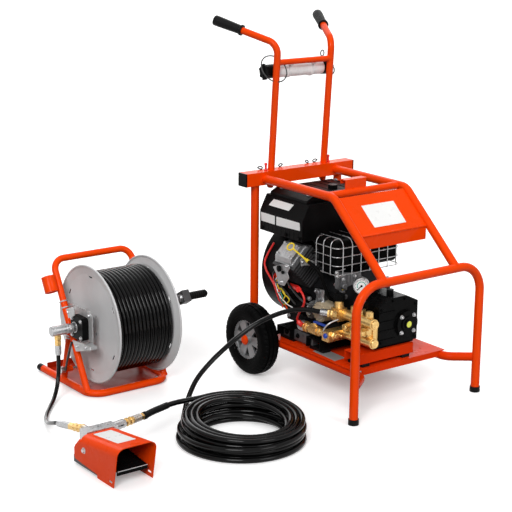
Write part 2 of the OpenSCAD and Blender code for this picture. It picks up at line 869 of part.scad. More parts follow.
module side_tubes() place() color("orangered") {
    stop = tube_d / 2 + fit;
    for (s = [-1, 1])
        bent_tube([[s * side_w / 2, post_y - bar_s / 2, side_z], [s * side_w / 2, bend_y, side_z],
                   [s * side_w / 2, cos(slope) * stop, arch_z + sin(slope) * stop]], tube_d, side_r);
    rod_x(-side_w / 2, side_w / 2, cross_y, side_z, cross_d);
    z1 = side_z + cross_d / 2 + hook_h;
    block([hook_x - hook_w / 2, cross_y - hook_t / 2, side_z + cross_d / 2 - embed],
          [hook_x + hook_w / 2, cross_y + hook_t / 2, z1]);
    block([hook_x - hook_w / 2, cross_y - hook_t / 2, z1 - hook_t],
          [hook_x + hook_w / 2, cross_y + hook_deep, z1]);
    block([hook_x - hook_w / 2, cross_y + hook_deep - hook_t, z1 - hook_h / 2],
          [hook_x + hook_w / 2, cross_y + hook_deep, z1]);
}
module hood_panel() place() color("orangered") {
    half = side_w / 2 - tube_d / 2 - fit;
    fold = [panel_fold_y, arch_z + panel_fold_y * tan(slope)];
    run_l = (panel_top_y - panel_fold_y) / cos(slope);
    slab_x(-half, half) {
        translate(fold) rotate(slope) translate([0, -panel_t / 2]) square([run_l, panel_t]);
        translate([fold.x - panel_t / 2, fold.y - panel_lip]) square([panel_t, panel_lip]);
        translate(fold) circle(d = panel_t);
    }
}
// Wheels on their axle
module axle() place() color("silver") {
    rod_x(-hub_outer_x - axle_cap_t / 2, hub_outer_x + axle_cap_t / 2, axle_y(), axle_z, axle_d);
    for (s = [-1, 1]) translate([s * (hub_outer_x + clear), axle_y(), axle_z]) rotate([0, s * 90, 0]) {
        cylinder(d = axle_cap_d, h = axle_cap_t / 2);
        translate([0, 0, axle_cap_t / 2])
            cylinder(d1 = axle_cap_d, d2 = axle_cap_d * cap_top_share, h = axle_cap_t / 2);
    }
}
cap_top_share = 0.6;
module wheel_at(s) {
    translate([s * (tyre_inner_x + tyre_w / 2), axle_y(), axle_z]) rotate([0, s * 90, 0]) children();
}
module tyre_shape() {
    rotate_extrude() difference() {
        union() {
            r = wheel_d / 2 - shoulder_r;
            w = tyre_w / 2 - shoulder_r;
            translate([bead_d / 2 + fit, -tyre_w / 2]) square([r - bead_d / 2 - fit, tyre_w]);
            translate([bead_d / 2 + fit, -w]) square([wheel_d / 2 - bead_d / 2 - fit, 2 * w]);
            for (k = [-1, 1]) translate([r, k * w]) circle(r = shoulder_r);
        }
        for (k = [-1, 0, 1])
            translate([wheel_d / 2 - tread_groove, k * tread_groove_x - tread_groove / 2])
                square([over, tread_groove]);
    }
}
module rim_shape() {
    bead_r0 = bead_d / 2 - rim_wall;
    hub_lo = hub_inner_x - tyre_inner_x - tyre_w / 2;
    hub_hi = hub_outer_x - tyre_inner_x - tyre_w / 2;
    difference() {
        rotate_extrude() {
            translate([bead_r0, -rim_w / 2]) square([rim_wall, rim_w]);
            translate([axle_d / 2 + run, hub_lo]) square([hub_d / 2 - axle_d / 2 - run, hub_hi - hub_lo]);
            translate([hub_d / 2 - over / 2, rim_w / 4]) square([bead_r0 - hub_d / 2 + over / 2, web_t]);
        }
        for (k = [0 : rim_windows - 1]) rotate(360 * k / rim_windows)
            translate([0, 0, rim_w / 4 - over]) linear_extrude(web_t + 2 * over)
                polygon([[hub_d / 2 + 2 * rim_wall, 0], [bead_r0 - rim_wall, rim_window_w / 2],
                         [bead_r0 - rim_wall, -rim_window_w / 2]]);
    }
}
module tyre_left() place() color("black") wheel_at(-1) tyre_shape();
module rim_left() place() color("gray") wheel_at(-1) rim_shape();
module tyre_right() place() color("black") wheel_at(1) tyre_shape();
module rim_right() place() color("gray") wheel_at(1) rim_shape();

// Push handle with its nozzle store
module handle_frame() place() color("orangered") {
    for (s = [-1, 1]) handle_post(s, handle_d);
    rod_x(-handle_x, handle_x, brace_y, brace_z, brace_d);
}
function grip_way(s) = unit([s * grip_out, grip_back, grip_rise]);
function grip_end(s) = [s * (handle_x + grip_out), neck_y + grip_back, neck_z + grip_rise];
module handle_grips() place() color("black") {
    for (s = [-1, 1]) {
        end = grip_end(s);
        way = grip_way(s);
        difference() {
            union() {
                rod(end - way * grip_l, end + way * grip_dome, grip_d);
                rod(end - way * grip_l, end - way * (grip_l - collar_t), collar_d);
            }
            rod(end - way * (grip_l + over), end, handle_d + 2 * fit);
        }
    }
}
module nozzle_tube() place() color("white") {
    x0 = store_x - store_l / 2;
    x1 = store_x + store_l / 2;
    difference() {
        rod_x(x0, x1, store_y, store_z, store_d);
        rod_x(x0 - over, x1 - store_wall, store_y, store_z, store_d - 2 * store_wall);
    }
    rod_x(x1, x1 + cap_l, store_y, store_z, store_d + store_wall);
    reach = norm([store_y - brace_y, brace_z - store_z]);
    lift = atan2(brace_z - store_z, brace_y - store_y);
    for (x = [store_x - clip_x, store_x + clip_x]) slab_x(x - clip_w / 2, x + clip_w / 2) difference() {
        union() {
            translate([store_y, store_z]) circle(d = store_d + 2 * clip_t);
            translate([store_y, store_z]) rotate(lift) translate([0, -strap_w / 2])
                square([reach, strap_w]);
        }
        translate([store_y, store_z]) circle(d = store_d - clip_t / 2);
        translate([brace_y, brace_z]) circle(d = brace_d + 2 * fit);
    }
}
module nozzle_tube_plug() place() color("black") {
    x0 = store_x - store_l / 2 - clear;
    rod_x(x0 - clear, x0 + plug_neck, store_y, store_z, store_d - 2 * store_wall - 2 * clear);
    rod_x(x0 - plug_l, x0, store_y, store_z, plug_head_d);
    rod_z(store_z - bar_t_l / 2, store_z + bar_t_l / 2, x0 - plug_l, store_y, bar_t_d);
}

// Engine
module channel(x0, x1, y0) {
    z0 = deck_z + mount_h;
    difference() {
        block([x0, y0, z0], [x1, y0 + channel_w, bed_z]);
        block([x0 - over, y0 + channel_t, z0 - over],
              [x1 + over, y0 + channel_w - channel_t, bed_z - channel_t]);
    }
}
module mount_channels() place() color("orangered") {
    channel(channel_front_x[0], channel_front_x[1], channel_front_y);
    channel(-channel_side, channel_side, channel_mid_y);
    channel(-channel_side, channel_side, channel_rear_y);
}
module rubber_mounts() place() color("black") {
    for (y = [channel_front_y, channel_mid_y, channel_rear_y], k = [0, 1]) {
        ends = y == channel_front_y ? channel_front_x : [-channel_side, channel_side];
        x = k == 0 ? ends[0] + mount_side : ends[1] - mount_side;
        block([x - mount_side / 2, y, deck_z], [x + mount_side / 2, y + channel_w, deck_z + mount_h]);
    }
}
case_rib = 3;
case_ribs = 5;
module crankcase() place() color("dimgray") {
    half = case_w / 2;
    slab_y(case_y, case_y + case_l)
        roof(-half, half, bed_z, case_top_z, [case_chamfer, case_chamfer]);
    for (k = [1 : case_ribs]) {
        y = case_y + case_l * k / (case_ribs + 1);
        block([half - embed, y, bed_z], [half + case_rib, y + case_rib, bed_z + crank_h / 2]);
    }
    block([-intake_w / 2, intake_y[0], case_top_z], [intake_w / 2, intake_y[1], shroud_z]);
    rod_y(pump_y + pump_l, case_y, drive_x, drive_z, drive_d);
}
module on_cylinder(k) {
    translate([0, cyl_y[k], crank_z]) rotate([0, 45 * cyl_side[k], 0]) children();
}
module box_z(w, l, z0, z1) { translate([-w / 2, -l / 2, z0]) cube([w, l, z1 - z0]); }
module cylinders() place() color("gray") {
    for (k = [0, 1]) on_cylinder(k) {
        box_z(fin_w - 2 * fin_step, fin_l - 2 * fin_step, cyl_start, cyl_start + foot_t);
        translate([0, 0, cyl_start]) cylinder(d = barrel_d, h = head_start - cyl_start);
        for (f = [1 : fin_count])
            box_z(fin_w, fin_l, cyl_start + foot_t + f * fin_step - fin_t, cyl_start + foot_t + f * fin_step);
        box_z(fin_w - fin_step, fin_l - fin_step, head_start, valve_start);
        for (f = [1 : fin_count - 2])
            box_z(fin_w, fin_l, head_start + f * fin_step - fin_t, head_start + f * fin_step);
    }
    for (k = [0, 1]) rod_y(muffler_y[1], cyl_y[k] - fin_l / 2 + fin_step, pipe_x[k], pipe_z[k], pipe_d);
}
module valve_covers() place() color("silver") {
    for (k = [0, 1]) on_cylinder(k) {
        box_z(valve_w + foot_t, valve_l + foot_t, valve_start, valve_start + foot_t);
        translate([0, valve_l / 2, valve_start]) rotate([90, 0, 0]) linear_extrude(valve_l)
            roof(-valve_w / 2, valve_w / 2, 0, valve_h, [valve_cut, valve_cut]);
    }
}
module blower_housing() place() color("black") {
    half = shroud_w / 2;
    slab_y(shroud_y, shroud_end_y) roof(-half, half, shroud_z, shroud_top_z, shroud_slope);
    difference() {
        union() {
            slab_y(case_y + case_l, shroud_end_y) {
                translate([0, fan_z]) circle(r = fan_r);
                translate([-fan_neck, fan_z]) square([2 * fan_neck, shroud_z - fan_z + embed]);
            }
            rod_y(shroud_end_y, shroud_end_y + fan_grille_t, 0, fan_z, fan_grille_d);
        }
        for (k = [1 : fan_rings]) translate([0, shroud_end_y + fan_grille_t + over, fan_z]) rotate([90, 0, 0])
            linear_extrude(fan_grille_t + over) difference() {
                circle(r = k * fan_grille_d / 2 / (fan_rings + 1) + fan_slot / 2);
                circle(r = k * fan_grille_d / 2 / (fan_rings + 1) - fan_slot / 4);
            }
    }
}
module air_cleaner() place() color("black") {
    half = lid_w / 2;
    difference() {
        slab_y(lid_y[0], lid_y[1])
            roof(-half, half, shroud_top_z, shroud_top_z + lid_h, [lid_slope, lid_cut]);
        rod_z(shroud_top_z + lid_cut, shroud_top_z + lid_h + over, knob_x, knob_y, knob_stud_d + 2 * run);
    }
    for (x = [-half / 2, half / 2]) block([x - lid_rib, lid_y[0] + lid_cut, shroud_top_z + lid_h],
        [x + lid_rib, lid_y[1] - lid_cut, shroud_top_z + lid_h + lid_rib / 2]);
}
module air_cleaner_knob() place() color("black") {
    z = shroud_top_z + lid_h + fit;
    rod_z(z - lid_h + lid_cut + clear, z + fit, knob_x, knob_y, knob_stud_d);
    translate([knob_x, knob_y, z]) linear_extrude(knob_h) difference() {
        circle(d = knob_d);
        for (k = [0 : 5]) rotate(60 * k) translate([knob_d / 2 + knob_stud_d / 4, 0]) circle(d = knob_stud_d);
    }
}
module muffler() place() color("black") {
    lo = [muffler_y[0], muffler_z];
    hi = [muffler_y[1], muffler_z + muffler_h];
    x0 = muffler_x - muffler_l / 2;
    slab_x(x0, x0 + muffler_l) round_rect(lo, hi, muffler_round);
    slab_x(muffler_x - muffler_seam, muffler_x + muffler_seam)
        round_rect(lo - [muffler_seam, muffler_seam], hi + [muffler_seam, muffler_seam] - [muffler_seam, 0],
                   muffler_round);
    block([-intake_w / 2, lo.x + muffler_round, case_top_z], [intake_w / 2, hi.x - muffler_round, muffler_z]);
}
// Wire guard: level hoops round the muffler, and upright wires that bend over its top
module muffler_guard() place() color("silver") {
    rise = guard_top_z - guard_low_z - 2 * wire_d;
    hoop_lo = guard_x[0];
    hoop_hi = guard_x[1];
    for (k = [0 : guard_levels - 1]) {
        z = guard_low_z + wire_d / 2 + (rise - guard_round) * k / (guard_levels - 1);
        bent_tube([[hoop_lo, guard_back_y, z], [hoop_lo, guard_front_y, z], [hoop_hi, guard_front_y, z],
                   [hoop_hi, guard_back_y, z]], wire_d, guard_round);
    }
    out = wire_d + fit;
    for (k = [0 : guard_front_wires - 1]) {
        x = hoop_lo + guard_round + (hoop_hi - hoop_lo - 2 * guard_round) * k / (guard_front_wires - 1);
        bent_tube([[x, guard_front_y - out, guard_low_z], [x, guard_front_y - out, guard_top_z],
                   [x, guard_back_y, guard_top_z]], wire_d, guard_round);
    }
    for (s = [0, 1], k = [0 : guard_end_wires - 1]) {
        y = guard_front_y + guard_round * end_wire_share
            + (guard_back_y - guard_front_y - guard_round * end_span_share) * k / (guard_end_wires - 1);
        x = s == 0 ? hoop_lo - out : hoop_hi + out;
        in = s == 0 ? hoop_lo + guard_round + out : hoop_hi - guard_round - out;
        bent_tube([[x, y, guard_low_z], [x, y, guard_top_z - out], [in, y, guard_top_z - out]],
                  wire_d, guard_round - out);
    }
    for (x = [muffler_x - muffler_l / 4, muffler_x + muffler_l / 4]) {
        z = guard_low_z + wire_d / 2 + (rise - guard_round) * 2 / (guard_levels - 1);
        rod_y(guard_front_y + wire_d / 2 + fit, muffler_y[0], x, z, 2 * wire_d);
    }
}
function dip_way() = [0, cos(dip_angle), sin(dip_angle)];
function dip_mouth() = [dip_x, dip_mouth_y, dip_mouth_z];
module dipstick_tube() place() color("black") {
    low = dip_mouth() - dip_way() * dip_tube_l;
    difference() {
        bent_tube([dip_mouth(), low, [-case_w / 2 - dip_reach, low.y, dip_foot_z],
                   [-case_w / 2, low.y, dip_foot_z]], dip_tube_d, dip_tube_r);
        rod(dip_mouth() - dip_way() * (dip_tube_l / 2), dip_mouth() + dip_way() * over, dip_rod_d + 2 * run);
    }
}
module dipstick() place() color("gold") {
    ring = dip_mouth() + dip_way() * dip_l;
    rod(dip_mouth() - dip_way() * (dip_tube_l / 2 - clear), ring - dip_way() * (dip_ring_d / 2 - dip_ring_t / 2),
        dip_rod_d);
    rod(dip_mouth() + dip_way() * fit, dip_mouth() + dip_way() * dip_tube_d, dip_tube_d);
    translate(ring) rotate([dip_angle, 0, 0]) rotate([0, 90 + dip_ring_turn, 0]) rotate_extrude() translate([dip_ring_d / 2 - dip_ring_t / 2, 0])
        circle(d = dip_ring_t);
}
module starter_motor() place() color("silver") {
    x = -case_w / 2 - starter_d / 2;
    rod_y(starter_y[0], starter_y[1], x, starter_z, starter_d);
    block([x, starter_y[0] + foot_t, starter_z - starter_d / 4], [-case_w / 2, starter_y[1] - foot_t,
          starter_z + starter_d / 4]);
    rod_y(starter_y[0] + foot_t, starter_y[1] - starter_nose, x - starter_d / 4,
          starter_z + starter_d / 2 + solenoid_d / 4, solenoid_d);
    rod_y(starter_y[0] - foot_t, starter_y[0], x, starter_z, starter_d / 2);
}
module oil_filter() place() color("tan") {
    rod_x(-case_w / 2 - filter_l, -case_w / 2, filter_y, filter_z, filter_d);
    rod_x(-case_w / 2 - filter_l - foot_t / 2, -case_w / 2, filter_y, filter_z, filter_d - foot_t);
}

// Pump
module pump_body() place() color("black") {
    difference() {
        slab_y(pump_y, pump_y + pump_l)
            roof(pump_x[0], pump_x[1], bed_z, bed_z + pump_h, pump_cut);
        rod_z(bed_z + pump_h - oil_cap_h, bed_z + pump_h + over, oil_cap_x, pump_y + oil_cap_back,
              oil_cap_d / 2 + 2 * run);
        block([pump_x[0] - over, pump_y - over, bed_z - over],
              [pump_x[1] + over, pump_y + pump_foot_in, bed_z + pump_foot]);
    }
    for (k = [1 : pump_rib_count]) {
        z = bed_z + pump_h * k / (pump_rib_count + pump_rib_share);
        block([pump_x[0] + pump_rib, pump_y - pump_rib, z], [pump_shaft_x - cover_d / 2 - pump_rib, pump_y,
              z + pump_rib]);
    }
    rod_y(pump_y - pump_rib, pump_y, pump_shaft_x, pump_shaft_z, cover_d + 2 * pump_rib);
}
module pump_cover() place() color("black") {
    y0 = pump_y - pump_rib;
    rod_y(y0 - cover_t, y0, pump_shaft_x, pump_shaft_z, cover_d);
    rod_y(y0 - cover_t - cover_step, y0 - cover_t, pump_shaft_x, pump_shaft_z, cover_d / 2 + cover_bolt_d);
    rod_y(y0 - cover_t - cover_step - sight_t, y0 - cover_t - cover_step, pump_shaft_x, pump_shaft_z, sight_d);
    for (sx = [-1, 1], sz = [-1, 1])
        translate([pump_shaft_x + sx * cover_bolt_side / 2, y0 - cover_t, pump_shaft_z + sz * cover_bolt_side / 2])
            rotate([90, 0, 0]) cylinder(d = cover_bolt_d, h = cover_bolt_d / 2, $fn = 6);
}
module pump_oil_cap() place() color("black") {
    z = bed_z + pump_h + fit;
    rod_z(z - oil_cap_h + clear, z + fit, oil_cap_x, pump_y + oil_cap_back, oil_cap_d / 2);
    translate([oil_cap_x, pump_y + oil_cap_back, z]) cylinder(d = oil_cap_d, h = oil_cap_h, $fn = 10);
}
module manifold() place() color("goldenrod") {
    y0 = pump_y + manifold_inset;
    y1 = pump_y + pump_l - manifold_inset;
    mid = (y0 + y1) / 2;
    block([manifold_x - manifold_w / 2, y0, manifold_z[0]], [manifold_x, y1, manifold_z[1] - valve_cap_h]);
    for (z = [gallery_low_z, gallery_high_z]) {
        rod_y(y0 - gallery_reach, y1 + gallery_reach, gallery_x, z, gallery_d);
        rod_y(y0 - gallery_reach - gallery_plug_l, y0 - gallery_reach + embed, gallery_x, z, gallery_plug_d);
    }
    for (k = [-1, 0, 1]) {
        y = mid + k * valve_pitch * (pump_l / (pump_l + valve_pitch / 2));
        x = manifold_x - manifold_w / 2;
        rod_z(manifold_z[0] + embed, manifold_z[1], x, y, valve_tower_d);
        translate([x, y, manifold_z[1] - embed])
            cylinder(d = valve_cap_d, h = valve_cap_h + embed, $fn = 6);
        translate([x, y, (manifold_z[0] + manifold_z[1]) / 2]) rotate([0, -90, 0])
            cylinder(d = valve_cap_d, h = valve_cap_h + manifold_w / 2, $fn = 6);
    }
}
module unloader_block(grow) {
    block([unloader_x - unloader_w / 2 - grow, unloader_y - grow, gallery_high_z - unloader_h / 2 - grow],
          [unloader_x + unloader_w / 2 + grow, unloader_y + unloader_l + grow,
           gallery_high_z + unloader_h / 2 + grow]);
}
module unloader() place() color("goldenrod") {
    y = unloader_y + unloader_l / 2;
    z = gallery_high_z + unloader_h / 2;
    unloader_block(0);
    difference() {
        rod_z(z, z + unloader_neck_h, unloader_x, y, unloader_neck_d);
        rod_z(z + unloader_neck_h / 2, z + unloader_neck_h + over, unloader_x, y, unloader_stem_d + 2 * run);
    }
}
module unloader_knob() place() color("black") {
    y = unloader_y + unloader_l / 2;
    z = gallery_high_z + unloader_h / 2 + unloader_neck_h + clear;
    rod_z(z - unloader_neck_h / 2, z + fit, unloader_x, y, unloader_stem_d);
    translate([unloader_x, y, z]) linear_extrude(unloader_knob_h) difference() {
        circle(d = unloader_knob_d);
        for (k = [0 : 7]) rotate(45 * k) translate([unloader_knob_d / 2 + unloader_stem_d / 6, 0])
            circle(d = unloader_stem_d / 2);
    }
}
module at_gauge() { translate([gauge_x, gauge_y, gauge_z]) rotate([90, 0, -gauge_turn]) children(); }
module gauge() place() color("silver") {
    at_gauge() difference() {
        translate([0, 0, -gauge_deep / 2]) cylinder(d = gauge_d, h = gauge_deep);
        translate([0, 0, gauge_deep / 2 - gauge_recess]) cylinder(d = gauge_d - 2 * gauge_bezel, h = over);
        translate([0, 0, gauge_deep / 2 - 2 * gauge_recess]) cylinder(d = needle_hub_d / 2 + 2 * run, h = over);
    }
    base = manifold_z[1] + valve_cap_h;
    translate([gauge_x, gauge_y, base]) cylinder(d = gauge_nut_d, h = gauge_nut_h, $fn = 6);
    rod_z(base, gauge_z - gauge_d / 2 + gauge_bezel, gauge_x, gauge_y, gauge_stem_d);
}
module gauge_needle() place() color("black") {
    at_gauge() translate([0, 0, gauge_deep / 2 - gauge_recess + clear]) {
        cylinder(d = needle_hub_d, h = needle_t);
        translate([0, 0, -gauge_recess]) cylinder(d = needle_hub_d / 2, h = gauge_recess);
        rotate(225) translate([-needle_w, -needle_w / 2, 0]) cube([needle_l + needle_w, needle_w, needle_t]);
    }
}
module inlet_valve() place() color("goldenrod") {
    y1 = unloader_y + inlet_tee_l;
    y2 = y1 + inlet_pipe_l;
    y3 = y2 + inlet_body_l;
    y4 = y3 + inlet_neck_l;
    block([inlet_x - inlet_tee_h / 2, unloader_y, inlet_z - inlet_tee_h / 2],
          [gallery_x + gallery_d / 2, y1, inlet_z + inlet_tee_h / 2]);
    rod_y(y1, y2, inlet_x, inlet_z, inlet_pipe_d);
    hex_rod([inlet_x, y2, inlet_z], [inlet_x, y3, inlet_z], inlet_body_d);
    rod_y(y3, y4, inlet_x, inlet_z, inlet_neck_d);
    rod_z(inlet_z, inlet_z + inlet_body_d / 2 + lever_boss_h, inlet_x, inlet_valve_y, lever_boss_d);
    difference() {
        rod_y(y4, y4 + inlet_ring_l, inlet_x, inlet_z, inlet_ring_d);
        rod_y(y4 + inlet_ring_l - inlet_bore_l, y4 + inlet_ring_l + over, inlet_x, inlet_z, inlet_bore_d);
    }
}
module inlet_lever() place() color("blue") {
    z = inlet_z + inlet_body_d / 2 + lever_boss_h + fit;
    rod_z(z, z + lever_t, inlet_x, inlet_valve_y, lever_boss_d);
    block([inlet_x - lever_w / 2, inlet_valve_y - lever_l, z], [inlet_x + lever_w / 2, inlet_valve_y, z + lever_t]);
}
module outlet_fitting() place() color("silver") {
    difference() {
        union() {
            hex_rod(outlet_end - outlet_way * outlet_l, outlet_end - outlet_way * (outlet_l / 2 - embed),
                    outlet_hex_d);
            rod(outlet_end - outlet_way * (outlet_l / 2), outlet_end, outlet_ferrule_d);
        }
        unloader_block(fit);
    }
}

// Hose reel on its stand
function leg_at(z) = reel_leg_y + (z - reel_rail_z) * tan(reel_lean);
module reel_frame() place() color("orangered") {
    xl = rail_left_x;
    xr = rail_right_x;
    end_y = reel_back_y - reel_cap_l;
    bent_tube([[xl, end_y, reel_rail_z], [xl, reel_front_y, reel_rail_z],
               [xr, reel_front_y, reel_rail_z], [xr, end_y, reel_rail_z]], reel_tube_d, reel_base_r);
    bent_tube([[xl, reel_leg_y, reel_rail_z], [xl, leg_at(reel_top_z), reel_top_z],
               [xr, leg_at(reel_top_z), reel_top_z], [xr, reel_leg_y, reel_rail_z]],
              reel_leg_d, reel_top_r);
    for (x = [xl, xr])
        rod([x, strut_foot_y, reel_rail_z], [x, leg_at(strut_top_z), strut_top_z], strut_d);
    sleeve_way = [0, sin(reel_lean), cos(reel_lean)];
    mid = [xl - reel_leg_d / 2 - sleeve_d / 2 + embed, leg_at(sleeve_z), sleeve_z];
    difference() {
        rod(mid - sleeve_way * (sleeve_l / 2), mid + sleeve_way * (sleeve_l / 2), sleeve_d);
        rod(mid - sleeve_way * sleeve_l, mid + sleeve_way * sleeve_l, sleeve_bore_d);
    }
    difference() {
        union() {
            rod_x(xl - lock_boss_l / 2, xl + lock_boss_l / 2, lock_y, lock_z, lock_boss_d);
            block([xl - reel_tube_d / 4, lock_y, lock_z - lock_boss_d / 2],
                  [xl + reel_tube_d / 4, strut_foot_y - (lock_z - reel_rail_z) * strut_slope(), lock_z
                   + lock_boss_d / 2]);
        }
        rod_x(xl - lock_boss_l, xl + lock_boss_l, lock_y, lock_z, lock_pin_d + 2 * run);
    }
}
function strut_slope() = (strut_foot_y - leg_at(strut_top_z)) / (strut_top_z - reel_rail_z);
module reel_pan() place() color("darkred") {
    x0 = rail_left_x + reel_tube_d / 2 + fit;
    x1 = rail_right_x - reel_tube_d / 2 - fit;
    y0 = reel_front_y + reel_tube_d / 2 + fit;
    y1 = reel_back_y - reel_cap_l - pan_inset;
    cut = reel_base_r - reel_tube_d / 2;
    translate([0, 0, reel_rail_z - pan_t / 2]) linear_extrude(pan_t)
        polygon([[x0, y0 + cut], [x0 + cut, y0], [x1 - cut, y0], [x1, y0 + cut], [x1, y1], [x0, y1]]);
    block([x0, y1 - pan_t, reel_rail_z - pan_t / 2], [x1, y1, reel_rail_z + pan_lip]);
}
module bearing_side(s) {
    tube_x = s < 0 ? rail_left_x : rail_right_x;
    in = tube_x - s * reel_tube_d / 2;
    mid = reel_y - bearing_off;
    difference() {
        slab_x(min(in, in - s * bracket_t) , max(in, in - s * bracket_t))
            translate([bracket_y[0], bracket_z[0]]) square([bracket_y[1] - bracket_y[0], bracket_z[1] - bracket_z[0]]);
        rod_x(tube_x - bearing_s, tube_x + bearing_s, reel_y, reel_z, bracket_hole_d);
    }
    difference() {
        slab_x(min(in, in + s * bearing_w), max(in, in + s * bearing_w))
            round_rect([mid - bearing_s / 2, reel_z - bearing_s / 2], [mid + bearing_s / 2, reel_z + bearing_s / 2],
                       bearing_round);
        rod_x(tube_x - bearing_s, tube_x + bearing_s, reel_y, reel_z, shaft_d + 2 * run);
    }
    for (ky = [-1, 1], kz = [-1, 1]) translate([in + s * (bearing_w - embed), mid + ky * bearing_bolt_side / 2,
        reel_z + kz * bearing_bolt_side / 2]) rotate([0, s * 90, 0])
            cylinder(d = bearing_bolt_d, h = bearing_bolt_d / 2 + embed, $fn = 6);
}
module reel_bearings() place() color("black") { for (s = [-1, 1]) bearing_side(s); }
module reel_lock_pin() place() color("silver") {
    boss_end = rail_left_x - lock_boss_l / 2;
    rod_x(boss_end - clear, lock_tip_x, lock_y, lock_z, lock_pin_d);
    rod_x(boss_end - clear - lock_knob_l, boss_end - clear, lock_y, lock_z, lock_knob_d);
}
// A flange is one spun sheet: flat, then a shallow rim that turns outward to a rolled edge
module flange(s) {
    flat_x = s < 0 ? flat_left_x : flat_right_x;
    translate([flat_x, reel_y, reel_z]) rotate([0, s * 90, 0]) difference() {
        rotate_extrude() {
            translate([shaft_d / 2 - over / 2, 0]) square([flat_r - shaft_d / 2 + over / 2, flange_t]);
            polygon([[flat_r, 0], [flange_d / 2 - bead_r, rim_depth - bead_r],
                     [flange_d / 2 - bead_r - flange_t, rim_depth - bead_r], [flat_r - flange_t, flange_t]]);
            translate([flange_d / 2 - bead_r, rim_depth - bead_r]) circle(r = bead_r);
        }
        for (k = [0 : flange_slots - 1]) rotate(360 * k / flange_slots)
            translate([flange_slot_r, 0, -over]) linear_extrude(2 * over)
                square([flange_slot_w / 2, flange_slot_w * 2], center = true);
    }
}
module reel_drum() place() color("whitesmoke") {
    inner = drum_d - 2 * drum_wall;
    difference() {
        union() {
            for (s = [-1, 1]) flange(s);
            rod_x(flat_left_x - flange_t / 2, flat_right_x + flange_t / 2, reel_y, reel_z, drum_d);
        }
        rod_x(flat_left_x - rim_depth, flat_right_x + rim_depth, reel_y, reel_z, inner);
        rod_x(lock_tip_x, reel_x, lock_y, lock_z, lock_hole_d);
    }
    for (s = [-1, 1]) difference() {
        x = s < 0 ? flat_left_x : flat_right_x - hub_t;
        rod_x(x, x + hub_t, reel_y, reel_z, inner + embed);
        for (k = [0 : 3]) rotate_about_reel(90 * k + 45)
            rod_x(x - over, x + hub_t + over, 0, hub_window_r, hub_window_d);
    }
    rod_x(shaft_left_x, shaft_right_x, reel_y, reel_z, shaft_d);
    rod_x(shaft_left_x - spigot_l, shaft_left_x + embed, reel_y, reel_z, spigot_d);
}
module rotate_about_reel(a) { translate([0, reel_y, reel_z]) rotate([a, 0, 0]) children(); }
module hose_winding() place() color("black") {
    difference() {
        rod_x(flat_left_x + bead_r + fit, flat_right_x - bead_r - fit, reel_y, reel_z, pack_d);
        rod_x(flat_left_x, flat_right_x, reel_y, reel_z, drum_d + 2 * fit);
    }
    sweep(wrap_path, reel_hose_d, wrap_sides);
}
module crank_arm() place() color("gray") {
    difference() {
        translate([crank_x, reel_y, reel_z]) rotate([crank_turn, 0, 0]) {
            translate([0, 0, 0]) rotate([0, 90, 0]) cylinder(d = crank_hub_d, h = crank_t);
            translate([0, 0, -crank_w / 2]) cube([crank_t, crank_l, crank_w]);
            translate([0, crank_l - crank_end.y / 2, -crank_end.z / 2]) cube(crank_end);
        }
        rod_x(crank_x - over, crank_x + crank_end.x + over, reel_y, reel_z, shaft_d + 2 * fit);
    }
    rod_x(crank_x + crank_end.x - embed, crank_x + crank_end.x + spindle_l + embed, crank_y, crank_z_end,
          spindle_d);
    rod_x(crank_x + crank_end.x + spindle_l, crank_x + crank_end.x + spindle_l + spindle_nut_t, crank_y,
          crank_z_end, spindle_nut_d);
}
module crank_grip() place() color("black") {
    x0 = crank_x + crank_end.x + clear;
    difference() {
        rod_x(x0, x0 + spindle_l - 2 * clear, crank_y, crank_z_end, crank_grip_d);
        rod_x(x0 - over, x0 + spindle_l + over, crank_y, crank_z_end, spindle_d + 2 * run);
    }
}
module reel_swivel() place() color("silver") {
    x1 = shaft_left_x - clear;
    difference() {
        rod_x(x1 - swivel_l, x1, reel_y, reel_z, swivel_d);
        rod_x(x1 - spigot_l, x1 + over, reel_y, reel_z, spigot_d + 2 * run);
    }
    low = swivel_low + swivel_ferrule_l;
    translate([swivel_port_x, reel_y, low])
        cylinder(d = swivel_hex_d, h = reel_z - swivel_d / 2 + foot_t - low, $fn = 6);
    rod_z(swivel_low, low + embed, swivel_port_x, reel_y, swivel_ferrule_d);
}

// Foot pedal valve
module at_pedal() { translate([pedal_x, 0, 0]) children(); }
module guard_outline(w, h, r) {
    for (s = [-1, 1]) translate([s * (w / 2 - r), h - r]) circle(r = r);
    translate([-w / 2, 0]) square([w, h - r]);
    translate([-w / 2 + r, 0]) square([w - 2 * r, h]);
}
module pedal_guard() place() at_pedal() color("orangered") {
    in = guard_w - 2 * guard_t;
    difference() {
        intersection() {
            translate([0, 0, guard_h]) rotate([-guard_fall, 0, 0]) translate([0, 0, -guard_h])
                slab_y(-guard_w, guard_l + guard_w) difference() {
                    guard_outline(guard_w, guard_h, guard_corner_r);
                    translate([0, -guard_t]) guard_outline(in, guard_h, guard_corner_r - guard_t);
                }
            slab_x(-guard_w, guard_w)
                polygon([[guard_foot_y, 0], [guard_step_y, 0], [guard_step_y, guard_step_z],
                         [guard_l, guard_rear_z], [guard_l, guard_h + over], [guard_nose_y, guard_h + over],
                         [guard_nose_y, guard_h]]);
        }
        block([-guard_w, guard_slot_y - guard_slot_l / 2, guard_slot_z - guard_slot_w / 2],
              [guard_w, guard_slot_y + guard_slot_l / 2, guard_slot_z + guard_slot_w / 2]);
    }
    rod_x(-guard_w / 2, guard_w / 2, pivot_y, pivot_z + valve_base_h, pivot_d);
}
